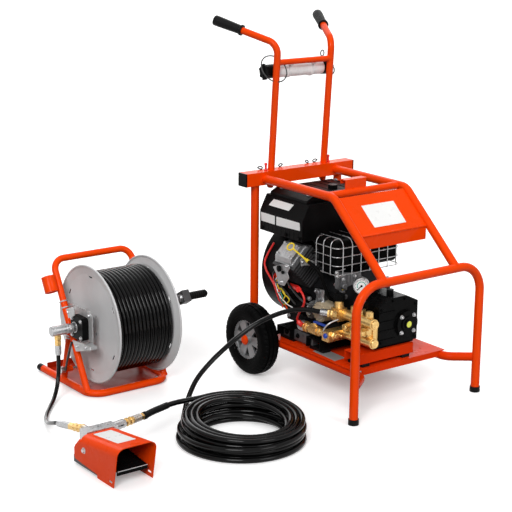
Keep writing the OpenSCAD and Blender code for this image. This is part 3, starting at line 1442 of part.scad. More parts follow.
module treadle() place() at_pedal() color("silver") {
    half = guard_w / 2 - guard_t - treadle_gap;
    side = half - embed;
    z = pivot_z + valve_base_h;
    y0 = pivot_y - treadle_l;
    dip = atan2(treadle_drop, treadle_l);
    difference() {
        union() {
            translate([0, pivot_y, z]) rotate([dip, 0, 0]) {
                translate([-side, -treadle_l, -treadle_t / 2]) cube([2 * side, treadle_l, treadle_t]);
                translate([-side, -treadle_l, -treadle_lip]) cube([2 * side, treadle_t, treadle_lip]);
                for (k = [1 : treadle_ribs])
                    translate([-half + treadle_gap, -treadle_l + treadle_l * k / (treadle_ribs * 2), 0])
                        cube([2 * half - 2 * treadle_gap, treadle_rib_w, treadle_t / 2 + treadle_rib_h]);
            }
            rod_x(-half, half, pivot_y, z, treadle_hub_d);
        }
        rod_x(-guard_w, guard_w, pivot_y, z, pivot_d + 2 * run);
    }
}
module pedal_valve() place() at_pedal() color("silver") {
    y0 = guard_l + fit;
    y1 = y0 + valve_body_l;
    block([valve_x[0], y0, valve_foot_h], [valve_x[1], y1, valve_top_z]);
    difference() {
        block([-guard_w / 2 + guard_t, guard_step_y, valve_foot_h], [guard_w / 2 - guard_t, y1, guard_step_z - fit]);
        rod_z(valve_foot_h + valve_base_t, guard_step_z + over, 0, stem_y, stem_d + 2 * run);
    }
    for (x = [-guard_w / 2 + guard_slot_l, guard_w / 2 - guard_slot_l], y = [guard_step_y + guard_slot_l, y1
        - guard_slot_l]) rod_z(0, valve_foot_h + embed, x, y, guard_slot_l);
    to_pedal = [pedal_x, 0, 0];
    rod_y(y1 - embed, y1 + left_hex_d, left_port_x, left_port_z, left_cap_d);
    hex_rod(left_port - to_pedal + left_way * (left_hex_d / 2), left_port - to_pedal + left_way * left_hex_l,
            left_hex_d);
    rod(left_port - to_pedal + left_way * (left_hex_l - embed), left_end - to_pedal, left_ferrule_d);
    rod(right_port - to_pedal - right_way * right_cap_d / 4, right_port - to_pedal + right_way * right_cap_l,
        right_cap_d);
    hex_rod(right_port - to_pedal + right_way * (right_cap_l - embed), right_end - to_pedal, right_hex_d);
}

module valve_stem() place() at_pedal() color("silver") {
    rod_z(guard_step_z - stem_in, stem_top_z, 0, stem_y, stem_d);
    rod_z(stem_top_z - stem_head_t, stem_top_z, 0, stem_y, stem_head_d);
}

// Hoses
module hose_pump() place() color("black") sweep(pump_path, hose_d, hose_sides);
module hose_coil() place() color("black") sweep(coil_path, hose_d, coil_sides);
module hose_pedal() place() color("black") {
    sweep([for (i = [0 : sleeve_from]) pedal_path[i]], hose_d, hose_sides);
    sweep([for (i = [sleeve_from : len(pedal_path) - 1]) pedal_path[i]], sleeve_hose_d, hose_sides);
}
module hose_reel() place() color("black") sweep(reel_path, reel_hose_d, hose_sides);

front_arch();
foot_tips();
deck_rails();
deck_plate();
rear_posts();
crossbar();
end_caps();
side_tubes();
hood_panel();
axle();
tyre_left();
rim_left();
tyre_right();
rim_right();
handle_frame();
handle_grips();
nozzle_tube();
nozzle_tube_plug();
mount_channels();
rubber_mounts();
crankcase();
cylinders();
valve_covers();
blower_housing();
air_cleaner();
air_cleaner_knob();
muffler();
muffler_guard();
dipstick_tube();
dipstick();
starter_motor();
oil_filter();
pump_body();
pump_cover();
pump_oil_cap();
manifold();
unloader();
unloader_knob();
gauge();
gauge_needle();
inlet_valve();
inlet_lever();
outlet_fitting();
reel_frame();
reel_pan();
reel_bearings();
reel_lock_pin();
reel_drum();
hose_winding();
crank_arm();
crank_grip();
reel_swivel();
pedal_guard();
treadle();
pedal_valve();
valve_stem();
hose_pump();
hose_coil();
hose_pedal();
hose_reel();
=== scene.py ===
"""Looks of the drain jetter: materials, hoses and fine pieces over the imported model.

Places and sizes of pieces are in millimetres of the cart frame; place() turns them into the shared frame.
"""
import json
from math import atan2, cos, floor, hypot, pi, radians, sin, sqrt, tan

import bmesh
import bpy
from mathutils import Matrix, Vector


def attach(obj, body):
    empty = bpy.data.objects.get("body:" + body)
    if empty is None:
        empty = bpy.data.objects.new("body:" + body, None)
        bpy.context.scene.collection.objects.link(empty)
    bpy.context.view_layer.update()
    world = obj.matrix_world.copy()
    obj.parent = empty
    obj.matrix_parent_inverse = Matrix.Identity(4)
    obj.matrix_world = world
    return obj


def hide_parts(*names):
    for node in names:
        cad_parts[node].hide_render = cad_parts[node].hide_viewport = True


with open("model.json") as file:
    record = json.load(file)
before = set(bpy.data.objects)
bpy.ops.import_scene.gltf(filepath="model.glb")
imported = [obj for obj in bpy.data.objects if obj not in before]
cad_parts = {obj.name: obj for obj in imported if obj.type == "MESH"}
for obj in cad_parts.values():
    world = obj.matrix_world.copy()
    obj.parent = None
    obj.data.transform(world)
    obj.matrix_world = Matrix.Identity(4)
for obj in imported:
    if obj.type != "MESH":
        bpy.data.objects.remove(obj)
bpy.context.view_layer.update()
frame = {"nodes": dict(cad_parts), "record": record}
NODES = frame["nodes"]
SCENE = bpy.context.scene


def at(x, y, z):
    return Vector((x, y, z))


# The cart frame's origin in the shared frame, in metres
SHIFT = at(0.469, -0.5545, 0.0)
RIGHT, LEFT = at(1, 0, 0), at(-1, 0, 0)
REAR, FRONT = at(0, 1, 0), at(0, -1, 0)
UP, DOWN = at(0, 0, 1), at(0, 0, -1)
BOTH = (("left", -1), ("right", 1))

# Places that several sections share, in millimetres of the cart frame

SIDE_X, HANDLE_X = 170, 127
COVER_X, COVER_Z = 27, 284
TOWER_X, TOWER_Y = -122.5, (126.7, 167.5, 208.3)
INLET_X, INLET_Z = -190, 234
UNLOADER_X, UNLOADER_Y = -145.5, 266
REEL_X, REEL_Y, REEL_Z = -724.0, 830.0, 250.0
LEG_X, LEG_Y, LEG_SLOPE = (-902, -572), 767, tan(radians(28))
LEG_WAY = at(0, LEG_SLOPE, 1).normalized()


def place(point):
    """A point of the cart frame in millimetres, as a point of the shared frame in metres."""
    return point / 1000 + SHIFT


def at_x(x, spots):
    return [at(x, y, z) for y, z in spots]


def at_y(y, spots):
    return [at(x, y, z) for x, z in spots]


def at_z(z, spots):
    return [at(x, y, z) for x, y in spots]


def circle(count, start=0.0):
    """Cosine and sine of equal steps round a circle."""
    angles = [2 * pi * k / count + start for k in range(count)]
    return [(cos(a), sin(a)) for a in angles]


# Materials

NOISE_LOW, NOISE_HIGH, NOISE_ROUGH = 0.3, 0.7, 0.55
DIRT_STOPS = (0.24, 0.34)
GLOSS_CELLS = 2.7
COAT_ROUGH = 0.09
BUMP_DEPTH = 0.001


def fill(node, values):
    """Sets inputs of a shader node by name."""
    for name, value in values.items():
        node.inputs[name].default_value = value


def noise(tree, coords, scale, detail=4.0):
    node = tree.nodes.new("ShaderNodeTexNoise")
    fill(node, {"Scale": scale, "Detail": detail, "Roughness": NOISE_ROUGH})
    tree.links.new(coords, node.inputs["Vector"])
    return node.outputs["Fac"]


def span(tree, value, low, high, start=NOISE_LOW, end=NOISE_HIGH):
    node = tree.nodes.new("ShaderNodeMapRange")
    fill(node, {"From Min": start, "From Max": end, "To Min": low, "To Max": high})
    tree.links.new(value, node.inputs["Value"])
    return node.outputs["Result"]


def ramp(tree, value, stops):
    node = tree.nodes.new("ShaderNodeValToRGB")
    while len(node.color_ramp.elements) < len(stops):
        node.color_ramp.elements.new(0.5)
    for element, (position, color) in zip(node.color_ramp.elements, stops):
        element.position = position
        element.color = (*color, 1.0)
    tree.links.new(value, node.inputs["Fac"])
    return node.outputs["Color"]


def material(name, color, rough, vary, metal=0.0, cell=28.0, grain=900.0, bump=0.05, spread=0.07,
             coat=0.0, spec=0.5, edge=0.0012, dirt=None):
    """A surface with cloudy colour, uneven gloss, a fine grain and softened edges."""
    mat = bpy.data.materials.new(name)
    mat.use_nodes = True
    tree = mat.node_tree
    bsdf = tree.nodes["Principled BSDF"]
    fill(bsdf, {"Metallic": metal, "Specular IOR Level": spec})
    fill(bsdf, {"Coat Weight": coat, "Coat Roughness": COAT_ROUGH})
    coords = tree.nodes.new("ShaderNodeTexCoord").outputs["Object"]
    low = [max(0.0, c * (1 - vary)) for c in color]
    high = [min(1.0, c * (1 + vary)) for c in color]
    stops = [(NOISE_LOW, low), (NOISE_HIGH, high)]
    if dirt:
        stops = [(DIRT_STOPS[0], dirt), (DIRT_STOPS[1], low), (NOISE_HIGH, high)]
    tree.links.new(ramp(tree, noise(tree, coords, cell), stops), bsdf.inputs["Base Color"])
    cloud = noise(tree, coords, cell * GLOSS_CELLS)
    gloss = span(tree, cloud, max(0.03, rough - spread), min(1.0, rough + spread))
    tree.links.new(gloss, bsdf.inputs["Roughness"])
    node = tree.nodes.new("ShaderNodeBump")
    fill(node, {"Strength": bump, "Distance": BUMP_DEPTH})
    tree.links.new(noise(tree, coords, grain, 2.0), node.inputs["Height"])
    if edge:
        round_edges = tree.nodes.new("ShaderNodeBevel")
        round_edges.samples = 3
        round_edges.inputs["Radius"].default_value = edge
        tree.links.new(round_edges.outputs["Normal"], node.inputs["Normal"])
    tree.links.new(node.outputs["Normal"], bsdf.inputs["Normal"])
    return mat


# Colour, roughness, cloudiness and what differs from the usual surface
LOOKS = {
    "frame_paint": ((0.86, 0.058, 0.0012), 0.3, 0.03,
                    dict(cell=6, grain=420, bump=0.015, coat=0.09, spec=0.03)),
    # The frame's orange, darkened: painted shade for the deck, its rails and the mount channels
    "deck_shade_paint": ((0.7, 0.036, 0.0015), 0.3, 0.05, dict(cell=6, grain=420, bump=0.015, spec=0.03)),
    "pan_paint": ((0.36, 0.016, 0.002), 0.36, 0.12, dict(cell=9, grain=420, spec=0.04)),
    "black_plastic": ((0.004, 0.004, 0.0042), 0.36, 0.25, dict(grain=1400, bump=0.08, spec=0.04)),
    "black_paint": ((0.0035, 0.0035, 0.0036), 0.3, 0.3, dict(grain=500, spec=0.02)),
    "black_gloss": ((0.003, 0.003, 0.0031), 0.24, 0.3, dict(grain=500, bump=0.06, spec=0.035)),
    "black_rubber": ((0.005, 0.005, 0.0052), 0.42, 0.25, dict(grain=1100, bump=0.12, spec=0.09)),
    "tyre_rubber": ((0.003, 0.003, 0.0031), 0.45, 0.35, dict(cell=16, grain=800, bump=0.1, spec=0.02)),
    "hose_rubber": ((0.002, 0.002, 0.0021), 0.11, 0.3,
                    dict(cell=30, grain=1600, bump=0.01, spread=0.02, spec=0.15, edge=0)),
    "rim_grey": ((0.26, 0.265, 0.27), 0.4, 0.1, dict(metal=0.55, grain=700, bump=0.08)),
    "steel": ((0.42, 0.42, 0.425), 0.3, 0.1, dict(metal=1.0, cell=40, grain=1500, bump=0.04)),
    "zinc": ((0.44, 0.44, 0.44), 0.42, 0.12, dict(metal=0.45, cell=60, grain=700, bump=0.1)),
    "cast_alu": ((0.15, 0.15, 0.154), 0.5, 0.2,
                 dict(metal=0.85, cell=45, bump=0.35, dirt=(0.05, 0.05, 0.05))),
    "bright_alu": ((0.42, 0.42, 0.425), 0.4, 0.12, dict(metal=0.9, cell=50, bump=0.25)),
    "case_grey": ((0.012, 0.012, 0.013), 0.48, 0.35,
                  dict(metal=0.3, cell=30, grain=700, bump=0.3, spec=0.08)),
    "brass": ((0.7, 0.46, 0.17), 0.3, 0.1, dict(metal=0.85, cell=40, bump=0.06)),
    "white_plastic": ((0.95, 0.95, 0.95), 0.28, 0.02, dict(cell=12, bump=0.01)),
    "plate_white": ((0.86, 0.86, 0.85), 0.32, 0.02, dict(cell=15, bump=0.02)),
    "plate_silver": ((0.6, 0.6, 0.6), 0.35, 0.08, dict(metal=0.6, cell=15)),
    "flange_paint": ((0.58, 0.58, 0.585), 0.36, 0.05, dict(cell=8, grain=500, spec=0.25)),
    "yellow_plastic": ((0.86, 0.62, 0.02), 0.34, 0.08, {}),
    "sight_yellow": ((0.78, 0.82, 0.02), 0.15, 0.1, dict(coat=0.8)),
    "blue_vinyl": ((0.01, 0.06, 0.42), 0.38, 0.15, {}),
    "red_vinyl": ((0.72, 0.015, 0.01), 0.38, 0.15, {}),
    "filter_tan": ((0.46, 0.38, 0.26), 0.42, 0.1, {}),
    "crank_grey": ((0.07, 0.07, 0.072), 0.42, 0.15, dict(metal=0.5, spec=0.1)),
    "wire_black": ((0.01, 0.01, 0.01), 0.4, 0.2, dict(edge=0)),
    "dial_white": ((0.85, 0.86, 0.85), 0.4, 0.02, dict(edge=0)),
    "dial_green": ((0.03, 0.32, 0.26), 0.4, 0.05, dict(edge=0)),
}
MATERIALS = {name: material(name, *look[:3], **look[3]) for name, look in LOOKS.items()}


def paint(node, slot):
    mesh = NODES[node].data
    mesh.materials.clear()
    mesh.materials.append(MATERIALS[slot])


def repaint(node, slot, test):
    """Faces of a node whose middle, in cart-frame millimetres, passes a test get another material."""
    mesh = NODES[node].data
    mesh.materials.append(MATERIALS[slot])
    index = len(mesh.materials) - 1
    for face in mesh.polygons:
        if test((face.center - SHIFT) * 1000):
            face.material_index = index


def off_cover(c):
    return hypot(c.x - COVER_X, c.z - COVER_Z)


# Where one node shows two finishes, or a finish and painted shade: the planes between them
HUB_CAP_X = 288.2
BEARING_PLATE_X, BEARING_PLATE_HALF = (-886, -588), 2.6
COVER_FACE_Y, COVER_FACE_R = 87.9, 33
SIGHT_Y, SIGHT_R = 80.5, 13
OUTLET_BRASS_Y = 279
PORT_BRASS_Y, LEFT_PORT_X, RIGHT_PORT_X = (275, 357), -1150, -1070
PAD_Z, VALVE_BASE_Z = 6.5, 30
INLET_STEEL_Y = 397
SWIVEL_BRASS_Z = (195, 231)
SHAFT_R = 16
TUBE_CAP_X = 114.5
FAN_SCREEN_Y = 683
CHANNEL_SHADE_Y = 250

for part in frame["record"]["subparts"]:
    paint(part["node"], part["material_slot"])
# Whole nodes repainted; the deck, its rails and the mount channels get the darker orange as painted shade
for slot, nodes in (("black_gloss", ("pump_body", "pump_cover")),
                    ("black_paint", ("treadle", "starter_motor")),
                    ("crank_grey", ("crank_arm", "cylinders")),
                    ("deck_shade_paint", ("deck_plate", "deck_rails", "mount_channels"))):
    for node in nodes:
        paint(node, slot)
repaint("axle", "frame_paint", lambda c: abs(c.x) > HUB_CAP_X)
repaint("reel_bearings", "zinc", lambda c: min(abs(c.x - x) for x in BEARING_PLATE_X) < BEARING_PLATE_HALF)
repaint("pump_cover", "steel", lambda c: c.y < COVER_FACE_Y and off_cover(c) > COVER_FACE_R)
repaint("pump_cover", "sight_yellow", lambda c: c.y < SIGHT_Y and off_cover(c) < SIGHT_R)
repaint("outlet_fitting", "brass", lambda c: c.y < OUTLET_BRASS_Y)
repaint("pedal_valve", "brass", lambda c: PORT_BRASS_Y[0] < c.y < PORT_BRASS_Y[1] and c.x < LEFT_PORT_X)
repaint("pedal_valve", "brass", lambda c: c.x > RIGHT_PORT_X)
repaint("pedal_valve", "black_rubber", lambda c: c.z < PAD_Z)
repaint("inlet_valve", "steel", lambda c: c.y > INLET_STEEL_Y)
repaint("reel_swivel", "brass", lambda c: SWIVEL_BRASS_Z[0] < c.z < SWIVEL_BRASS_Z[1])
repaint("reel_drum", "steel", lambda c: hypot(c.y - REEL_Y, c.z - REEL_Z) < SHAFT_R)
repaint("nozzle_tube", "black_plastic", lambda c: c.x > TUBE_CAP_X)
repaint("blower_housing", "crank_grey", lambda c: c.y > FAN_SCREEN_Y)
# The engine's mount channels behind this plane are painted black as painted shade
repaint("mount_channels", "black_paint", lambda c: c.y > CHANNEL_SHADE_Y)
repaint("pedal_valve", "crank_grey", lambda c: PAD_Z < c.z < VALVE_BASE_Z)

# Making pieces


def add(obj, mat, body="cart"):
    obj.data.materials.append(MATERIALS[mat])
    SCENE.collection.objects.link(obj)
    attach(obj, body)
    return obj


def piece(name, bm, mat, body="cart", smooth=True, bevel=0.0, angle=0.7):
    mesh = bpy.data.meshes.new(name)
    bmesh.ops.recalc_face_normals(bm, faces=bm.faces)
    for vert in bm.verts:
        vert.co = place(vert.co)
    bm.to_mesh(mesh)
    bm.free()
    if smooth:
        for face in mesh.polygons:
            face.use_smooth = True
        mesh.set_sharp_from_angle(angle=angle)
    obj = add(bpy.data.objects.new(name, mesh), mat, body)
    if bevel:
        mod = obj.modifiers.new("soft_edges", "BEVEL")
        mod.width = bevel / 1000
        mod.segments = 3
        mod.limit_method = "ANGLE"
    return obj


def axes(way):
    """A direction and two others square to it."""
    way = way.normalized()
    side = way.cross(UP if abs(way.z) < 0.9 else REAR).normalized()
    return way, side, way.cross(side)


def skin(bm, lo, hi):
    """Faces between two closed rows of vertices."""
    for k in range(len(lo)):
        n = (k + 1) % len(lo)
        bm.faces.new((lo[k], lo[n], hi[n], hi[k]))


def prism(bm, low, high):
    """A solid between two outlines with equal counts of points."""
    lo = [bm.verts.new(p) for p in low]
    hi = [bm.verts.new(p) for p in high]
    skin(bm, lo, hi)
    bm.faces.new(lo[::-1])
    bm.faces.new(hi)


def lathe(bm, start, way, profile, sides=40):
    """Turns (distance, radius) pairs round a line from a point."""
    way, a, b = axes(way)
    rings = []
    for d, r in profile:
        rings.append([bm.verts.new(start + way * d + (a * c + b * s) * r) for c, s in circle(sides)])
    for lo, hi in zip(rings, rings[1:]):
        skin(bm, lo, hi)
    bm.faces.new(rings[0][::-1])
    bm.faces.new(rings[-1])


def hexagon(bm, start, way, size, height):
    lathe(bm, start, way,
          [(0, size * 0.97), (height * 0.12, size), (height * 0.86, size), (height, size * 0.88)], 6)


def band(low, high, wide, slope=0.6):
    """The profile of a raised band with sloped edges."""
    return [(0, low), (slope, high), (wide - slope, high), (wide, low)]


def turned(name, spots, way, profile, mat, body="cart", sides=40, smooth=True):
    """One piece of equal turned shapes, one at each spot."""
    bm = bmesh.new()
    for spot in spots:
        lathe(bm, spot, way, profile, sides)
    return piece(name, bm, mat, body, smooth)


def nuts(name, places, way, mat):
    """One piece of hexagons, each with its place, half width and height."""
    bm = bmesh.new()
    for spot, size, height in places:
        hexagon(bm, spot, way, size, height)
    return piece(name, bm, mat, smooth=False)


def bolts(name, spots, way, size, height, mat="steel", body="cart", washer=True):
    """Hexagon heads at spots, with washers or bare."""
    bm = bmesh.new()
    for spot in spots:
        foot = spot - way * 0.3
        if washer:
            rim = size * 1.5
            lathe(bm, foot, way, [(0, rim), (height * 0.22, rim), (height * 0.26, size * 1.42)], 24)
            foot = spot + way * height * 0.2
        hexagon(bm, foot, way, size, height)
    return piece(name, bm, mat, body, smooth=False)


def box(bm, lo, hi):
    """A block between two corners in millimetres."""
    corners = ((lo[0], lo[1]), (hi[0], lo[1]), (hi[0], hi[1]), (lo[0], hi[1]))
    prism(bm, at_z(lo[2], corners), at_z(hi[2], corners))


def boxes(name, pairs, mat, bevel):
    bm = bmesh.new()
    for lo, hi in pairs:
        box(bm, lo, hi)
    return piece(name, bm, mat, smooth=False, bevel=bevel)


def sheet(name, outline, normal, thick, mat, holes=(), bevel=0.4):
    """A flat bracket from an outline, with bolt heads on its face."""
    bm = bmesh.new()
    prism(bm, outline, [p + normal * thick for p in outline])
    piece(name, bm, mat, smooth=False, bevel=bevel)
    if holes:
        bolts(name + "_bolts", [h + normal * thick for h in holes], normal, 4.8, 5)


def side_sheet(name, x, outline, thick, mat, holes, bevel=0.4):
    """A bracket that faces left, from (y, z) pairs."""
    sheet(name, at_x(x, outline), LEFT, thick, mat, at_x(x, holes), bevel)


def front_sheet(name, y, outline, thick, mat, holes, bevel=0.4):
    """A bracket that faces the front, from (x, z) pairs."""
    sheet(name, at_y(y, outline), FRONT, thick, mat, at_y(y, holes), bevel)


def line(name, points, radius, mat, body="cart", cyclic=False, facets=3):
    """A round wire or hose along points; more facets make it rounder."""
    curve = bpy.data.curves.new(name, "CURVE")
    curve.dimensions = "3D"
    curve.bevel_depth = radius / 1000
    curve.bevel_resolution = facets
    curve.use_fill_caps = True
    spline = curve.splines.new("POLY")
    spline.points.add(len(points) - 1)
    for point, spot in zip(spline.points, points):
        point.co = (*place(spot), 1.0)
    spline.use_cyclic_u = cyclic
    spline.use_smooth = True
    return add(bpy.data.objects.new(name, curve), mat, body)


def ring(name, centre, normal, radius, thick, mat, body="cart", count=36):
    """A closed round wire."""
    _, a, b = axes(normal)
    points = [centre + (a * c + b * s) * radius for c, s in circle(count)]
    return line(name, points, thick, mat, body, cyclic=True)


def curve_at(r, i, t):
    """A point of the smooth curve through a row of points, between points i and i + 1."""
    p0, p1, p2, p3 = r[max(i - 1, 0)], r[i], r[i + 1], r[min(i + 2, len(r) - 1)]
    return (p1 * 2 + (p2 - p0) * t + (p0 * 2 - p1 * 5 + p2 * 4 - p3) * t * t
            + (p1 * 3 - p0 - p2 * 3 + p3) * t * t * t) / 2


def smooth_line(points, steps=8):
    out = [curve_at(points, i, k / steps) for i in range(len(points) - 1) for k in range(steps)]
    return out + [points[-1]]


def helix(start, way, radius, reach, turns, steps, phase=0.0):
    """Points of a helix round a line from a point."""
    way, a, b = axes(way)
    points = []
    for k in range(turns * steps + 1):
        t = 2 * pi * k / steps + phase
        along = reach * k / (turns * steps)
        points.append(start + way * along + (a * cos(t) + b * sin(t)) * radius)
    return points


def wire(name, route, radius, mat, facets=3, steps=8):
    """A smooth wire through points in millimetres."""
    return line(name, smooth_line([Vector(spot) for spot in route], steps), radius, mat, facets=facets)


# Hoses: the same routes as the solids, in millimetres

HOSE_D, REEL_HOSE_D, SLEEVE_R = 18.4, 15.2, 11.5
COIL_C = (-684.0, 113.0)
COIL_R, COIL_TURNS, COIL_LAYERS, COIL_RINGS = 209.0, 3, 4, 24
COIL_PITCH, COIL_LAYER = HOSE_D + 1.0, HOSE_D + 0.7
COIL_START, COIL_LEAD = 126.0, 10 / 24
COIL_LOOSE = 8.0
PERIOD = COIL_TURNS + 0.5
FINE = 3
ROUTE_STEPS, SLEEVE_SPANS = 8, 3
PUMP_ROUTE = [(-230, 357, 315), (-262, 399, 307), (-302, 445, 284), (-355, 487, 248), (-400, 507, 216),
              (-455, 519, 178), (-530, 520, 130), (-610, 498, 82), (-690, 437, 38), (-745, 376, 16),
              (-780, 330, 10)]
PEDAL_ROUTE = [(-765, 325, 91), (-805, 328, 91), (-846, 325, 90), (-880, 317, 89), (-920, 306, 88.5)]
REEL_ROUTE = [(-984, 829, 115), (-990, 824, 78), (-1006, 808, 42), (-1036, 776, 18), (-1074, 734, 9),
              (-1112, 686, 8.2), (-1146, 632, 10), (-1172, 574, 22), (-1192, 518, 42)]
OUTLET_END, OUTLET_WAY = at(-196, 307, 313), at(-23, 37, 2).normalized()
RIGHT_PORT, RIGHT_END = at(-1107, 244.1, 97), at(-968, 290, 88)
RIGHT_WAY = (RIGHT_END - RIGHT_PORT).normalized()
LEFT_PORT, LEFT_END = at(-1198, 261.1, 102), at(-1207, 430, 72)
LEFT_WAY = (LEFT_END - LEFT_PORT).normalized()
SWIVEL_X = -984
SWIVEL_END = at(SWIVEL_X, REEL_Y, 160)


def coil_radius(s):
    """Radius after s turns: in and out again, layer by layer."""
    if s < 0:
        return COIL_R - s * COIL_PITCH
    k = floor(s / PERIOD + 0.25 / PERIOD)
    u = s - k * PERIOD
    v = 2 * COIL_TURNS + 0.5 - u if u > COIL_TURNS + 0.25 else u
    return COIL_R - (v if k % 2 == 0 else COIL_TURNS - v) * COIL_PITCH


def coil_height(s):
    """Height after s turns: level in a layer, rising over the half turn to the next."""
    if s < 0:
        return HOSE_D / 2
    k = floor(s / PERIOD)
    return HOSE_D / 2 + COIL_LAYER * (k + max(0.0, min(1.0, (s - k * PERIOD - COIL_TURNS) * 2)))


def coil_point(turn):
    a = radians(COIL_START + 360 * turn)
    s = turn - COIL_LEAD
    r = coil_radius(s)
    h = coil_height(s)
    h += (h - HOSE_D / 2) / COIL_LAYER * COIL_LOOSE * (1 + sin(a)) / 2
    return at(COIL_C[0] + r * cos(a), COIL_C[1] + r * sin(a), h)


def hose_route(start, start_way, mids, end, end_way, d):
    """A smooth route that leaves and meets its two fittings straight."""
    r = [start, start + start_way * d] + [Vector(m) for m in mids] + [end - end_way * d, end]
    out = [r[0]]
    for i in range(1, len(r) - 2):
        out += [curve_at(r, i, k / ROUTE_STEPS) for k in range(ROUTE_STEPS)]
    return out + r[-2:]


COIL_LENGTH = COIL_LEAD + COIL_LAYERS * PERIOD - 0.5
coil_steps = COIL_RINGS * FINE
coil = [coil_point(i / coil_steps) for i in range(round(COIL_LENGTH * coil_steps) + 1)]
coil_in = (coil_point(1 / COIL_RINGS) - coil_point(0)).normalized()
coil_out = (coil_point(COIL_LENGTH) - coil_point(COIL_LENGTH - 1 / COIL_RINGS)).normalized()
pump_line = hose_route(OUTLET_END, OUTLET_WAY, PUMP_ROUTE, coil[0], coil_in, HOSE_D)
pedal_line = hose_route(coil[-1], coil_out, PEDAL_ROUTE, RIGHT_END, -RIGHT_WAY, HOSE_D)
jet_line = pump_line + coil[1:-1] + pedal_line
jet_hose = line("jet_hose", jet_line, HOSE_D / 2, "hose_rubber", facets=6)
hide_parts("hose_pump", "hose_coil", "hose_pedal")
sleeve_line = pedal_line[-(SLEEVE_SPANS * ROUTE_STEPS + 2):]
bend_sleeve = line("bend_sleeve", sleeve_line, SLEEVE_R, "black_rubber", facets=6)
reel_line = hose_route(SWIVEL_END, DOWN, REEL_ROUTE, LEFT_END, -LEFT_WAY, REEL_HOSE_D)
reel_hose = line("reel_hose", reel_line, REEL_HOSE_D / 2, "hose_rubber", facets=6)
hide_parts("hose_reel")

# The winding on the reel: an outer layer over a plain core

WRAP_R, WRAP_TURNS, WRAP_PITCH, WRAP_STEPS = 182.4, 14, 15.7, 72
CORE_X = -838.5
WRAP_WIDE = WRAP_TURNS * WRAP_PITCH
WRAP_START = at(REEL_X - WRAP_WIDE / 2, REEL_Y, REEL_Z)
wrap = helix(WRAP_START, RIGHT, WRAP_R, WRAP_WIDE, WRAP_TURNS, WRAP_STEPS, pi)
winding = line("reel_winding", wrap, REEL_HOSE_D / 2, "hose_rubber", "reel", facets=5)
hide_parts("hose_winding")
turned("reel_winding_core", [at(CORE_X, REEL_Y, REEL_Z)], RIGHT,
       [(0, 61), (0, 172), (4, 173.5), (225, 173.5), (229, 172), (229, 61)], "hose_rubber", "reel", 72)

# Handle: grips, lanyard and rings of the nozzle tube, pins and clips on the crossbar

GRIP_END, GRIP_LENGTH, GRIP_RIBS, RIB_PITCH = (244, 904.1, 1310), 118, 15, 6.4
BAR_TOP_Z, CLIP_Y = 761.5, 728
PLUG_LOBES, PLUG_LOBE_R = 6, 23.5


def grip_profile():
    """A collar, ribs that grow towards the end, and a rounded end."""
    profile = [(0, 15), (0, 20), (1, 20.6), (7, 20.6), (9, 18.5)]
    for k in range(GRIP_RIBS):
        d = 11 + k * RIB_PITCH
        g = 17.2 + 0.18 * k
        profile += [(d, g - 0.6), (d + 1.2, g), (d + 5, g), (d + 6.2, g - 0.6)]
    return profile + [(110, 19.8), (118, 19.4), (120.5, 18), (122, 14), (122.6, 8)]


bm = bmesh.new()
for _, s in BOTH:
    way = at(s * 117, 233, 74).normalized()
    lathe(bm, at(s * GRIP_END[0], *GRIP_END[1:]) - way * GRIP_LENGTH, way, grip_profile())
grips = piece("ribbed_grips", bm, "black_rubber")
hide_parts("handle_grips")
loop = [at(-127 + 36 * c, 694 - 27 * c + 24 * s, 1143 + 46 * s) for c, s in circle(48)]
line("nozzle_lanyard", loop, 2.4, "wire_black", cyclic=True)
lobes = [at(-157, 719.9 + PLUG_LOBE_R * c, 1131 + PLUG_LOBE_R * s) for c, s in circle(PLUG_LOBES, 0.3)]
turned("plug_lobes", lobes, RIGHT, band(5, 6.5, 11.5, 1.5), "black_plastic", "nozzle_tube_plug", 16)
turned("ring_pin", [at(138.5, 702, 1134)], RIGHT,
       [(0, 3.4), (21, 3.4), (22, 4.8), (25, 4.8)], "steel", sides=16)
ring("nozzle_ring_low", at(158, 702, 1119), at(1, -0.1, 0), 15, 2.4, "wire_black")
ring("nozzle_ring_high", at(92, 682, 1189), at(0.3, -1, 0), 11, 2.2, "wire_black")
turned("crossbar_lock_buttons", [at(s * (HANDLE_X + 24), 706, BAR_TOP_Z) for _, s in BOTH], UP,
       [(0, 7), (4, 7), (5, 4), (20, 4), (21, 5.5), (27, 5.5), (29, 4)], "red_vinyl", sides=20)
for x, tip in ((-152, -12), (-70, 10), (70, -8), (96, 12)):
    bow = [(x + tip * t, CLIP_Y + 2, z) for t, z in ((1, 766), (1.6, 771), (0.6, 774), (-0.2, 769))]
    wire(f"hitch_clip_{x}", [(x, CLIP_Y, 763), *bow, (x, CLIP_Y, 765)], 2.2, "wire_black")
turned("handle_foot_plugs", [at(s * HANDLE_X, 708.6, 699.4) for _, s in BOTH], at(0, 0.07, -1),
       [(0, 12.5), (2, 12.5), (6, 9.5), (7, 4)], "pan_paint", sides=28)

# Welds: beads where frame tubes meet, the feet of the side tubes and the fold of the hood

ARCH_Z, CROSS_Z, CROSS_RUN = 488, 735, 280
TUBE_R, FOOT_START = 16, 17.1
SLOPE = atan2(CROSS_Z - ARCH_Z, CROSS_RUN)
SLOPE_WAY = at(0, cos(SLOPE), sin(SLOPE))
FOLD_Y, FOLD_Z = 146.0, 617.4
foot = SLOPE_WAY * FOOT_START
feet = [at(s * SIDE_X, foot.y, ARCH_Z + foot.z) for _, s in BOTH]
turned("side_tube_feet", feet, -SLOPE_WAY, [(0, 16.01), (14, 16.01), (14.5, 15.5)], "frame_paint")


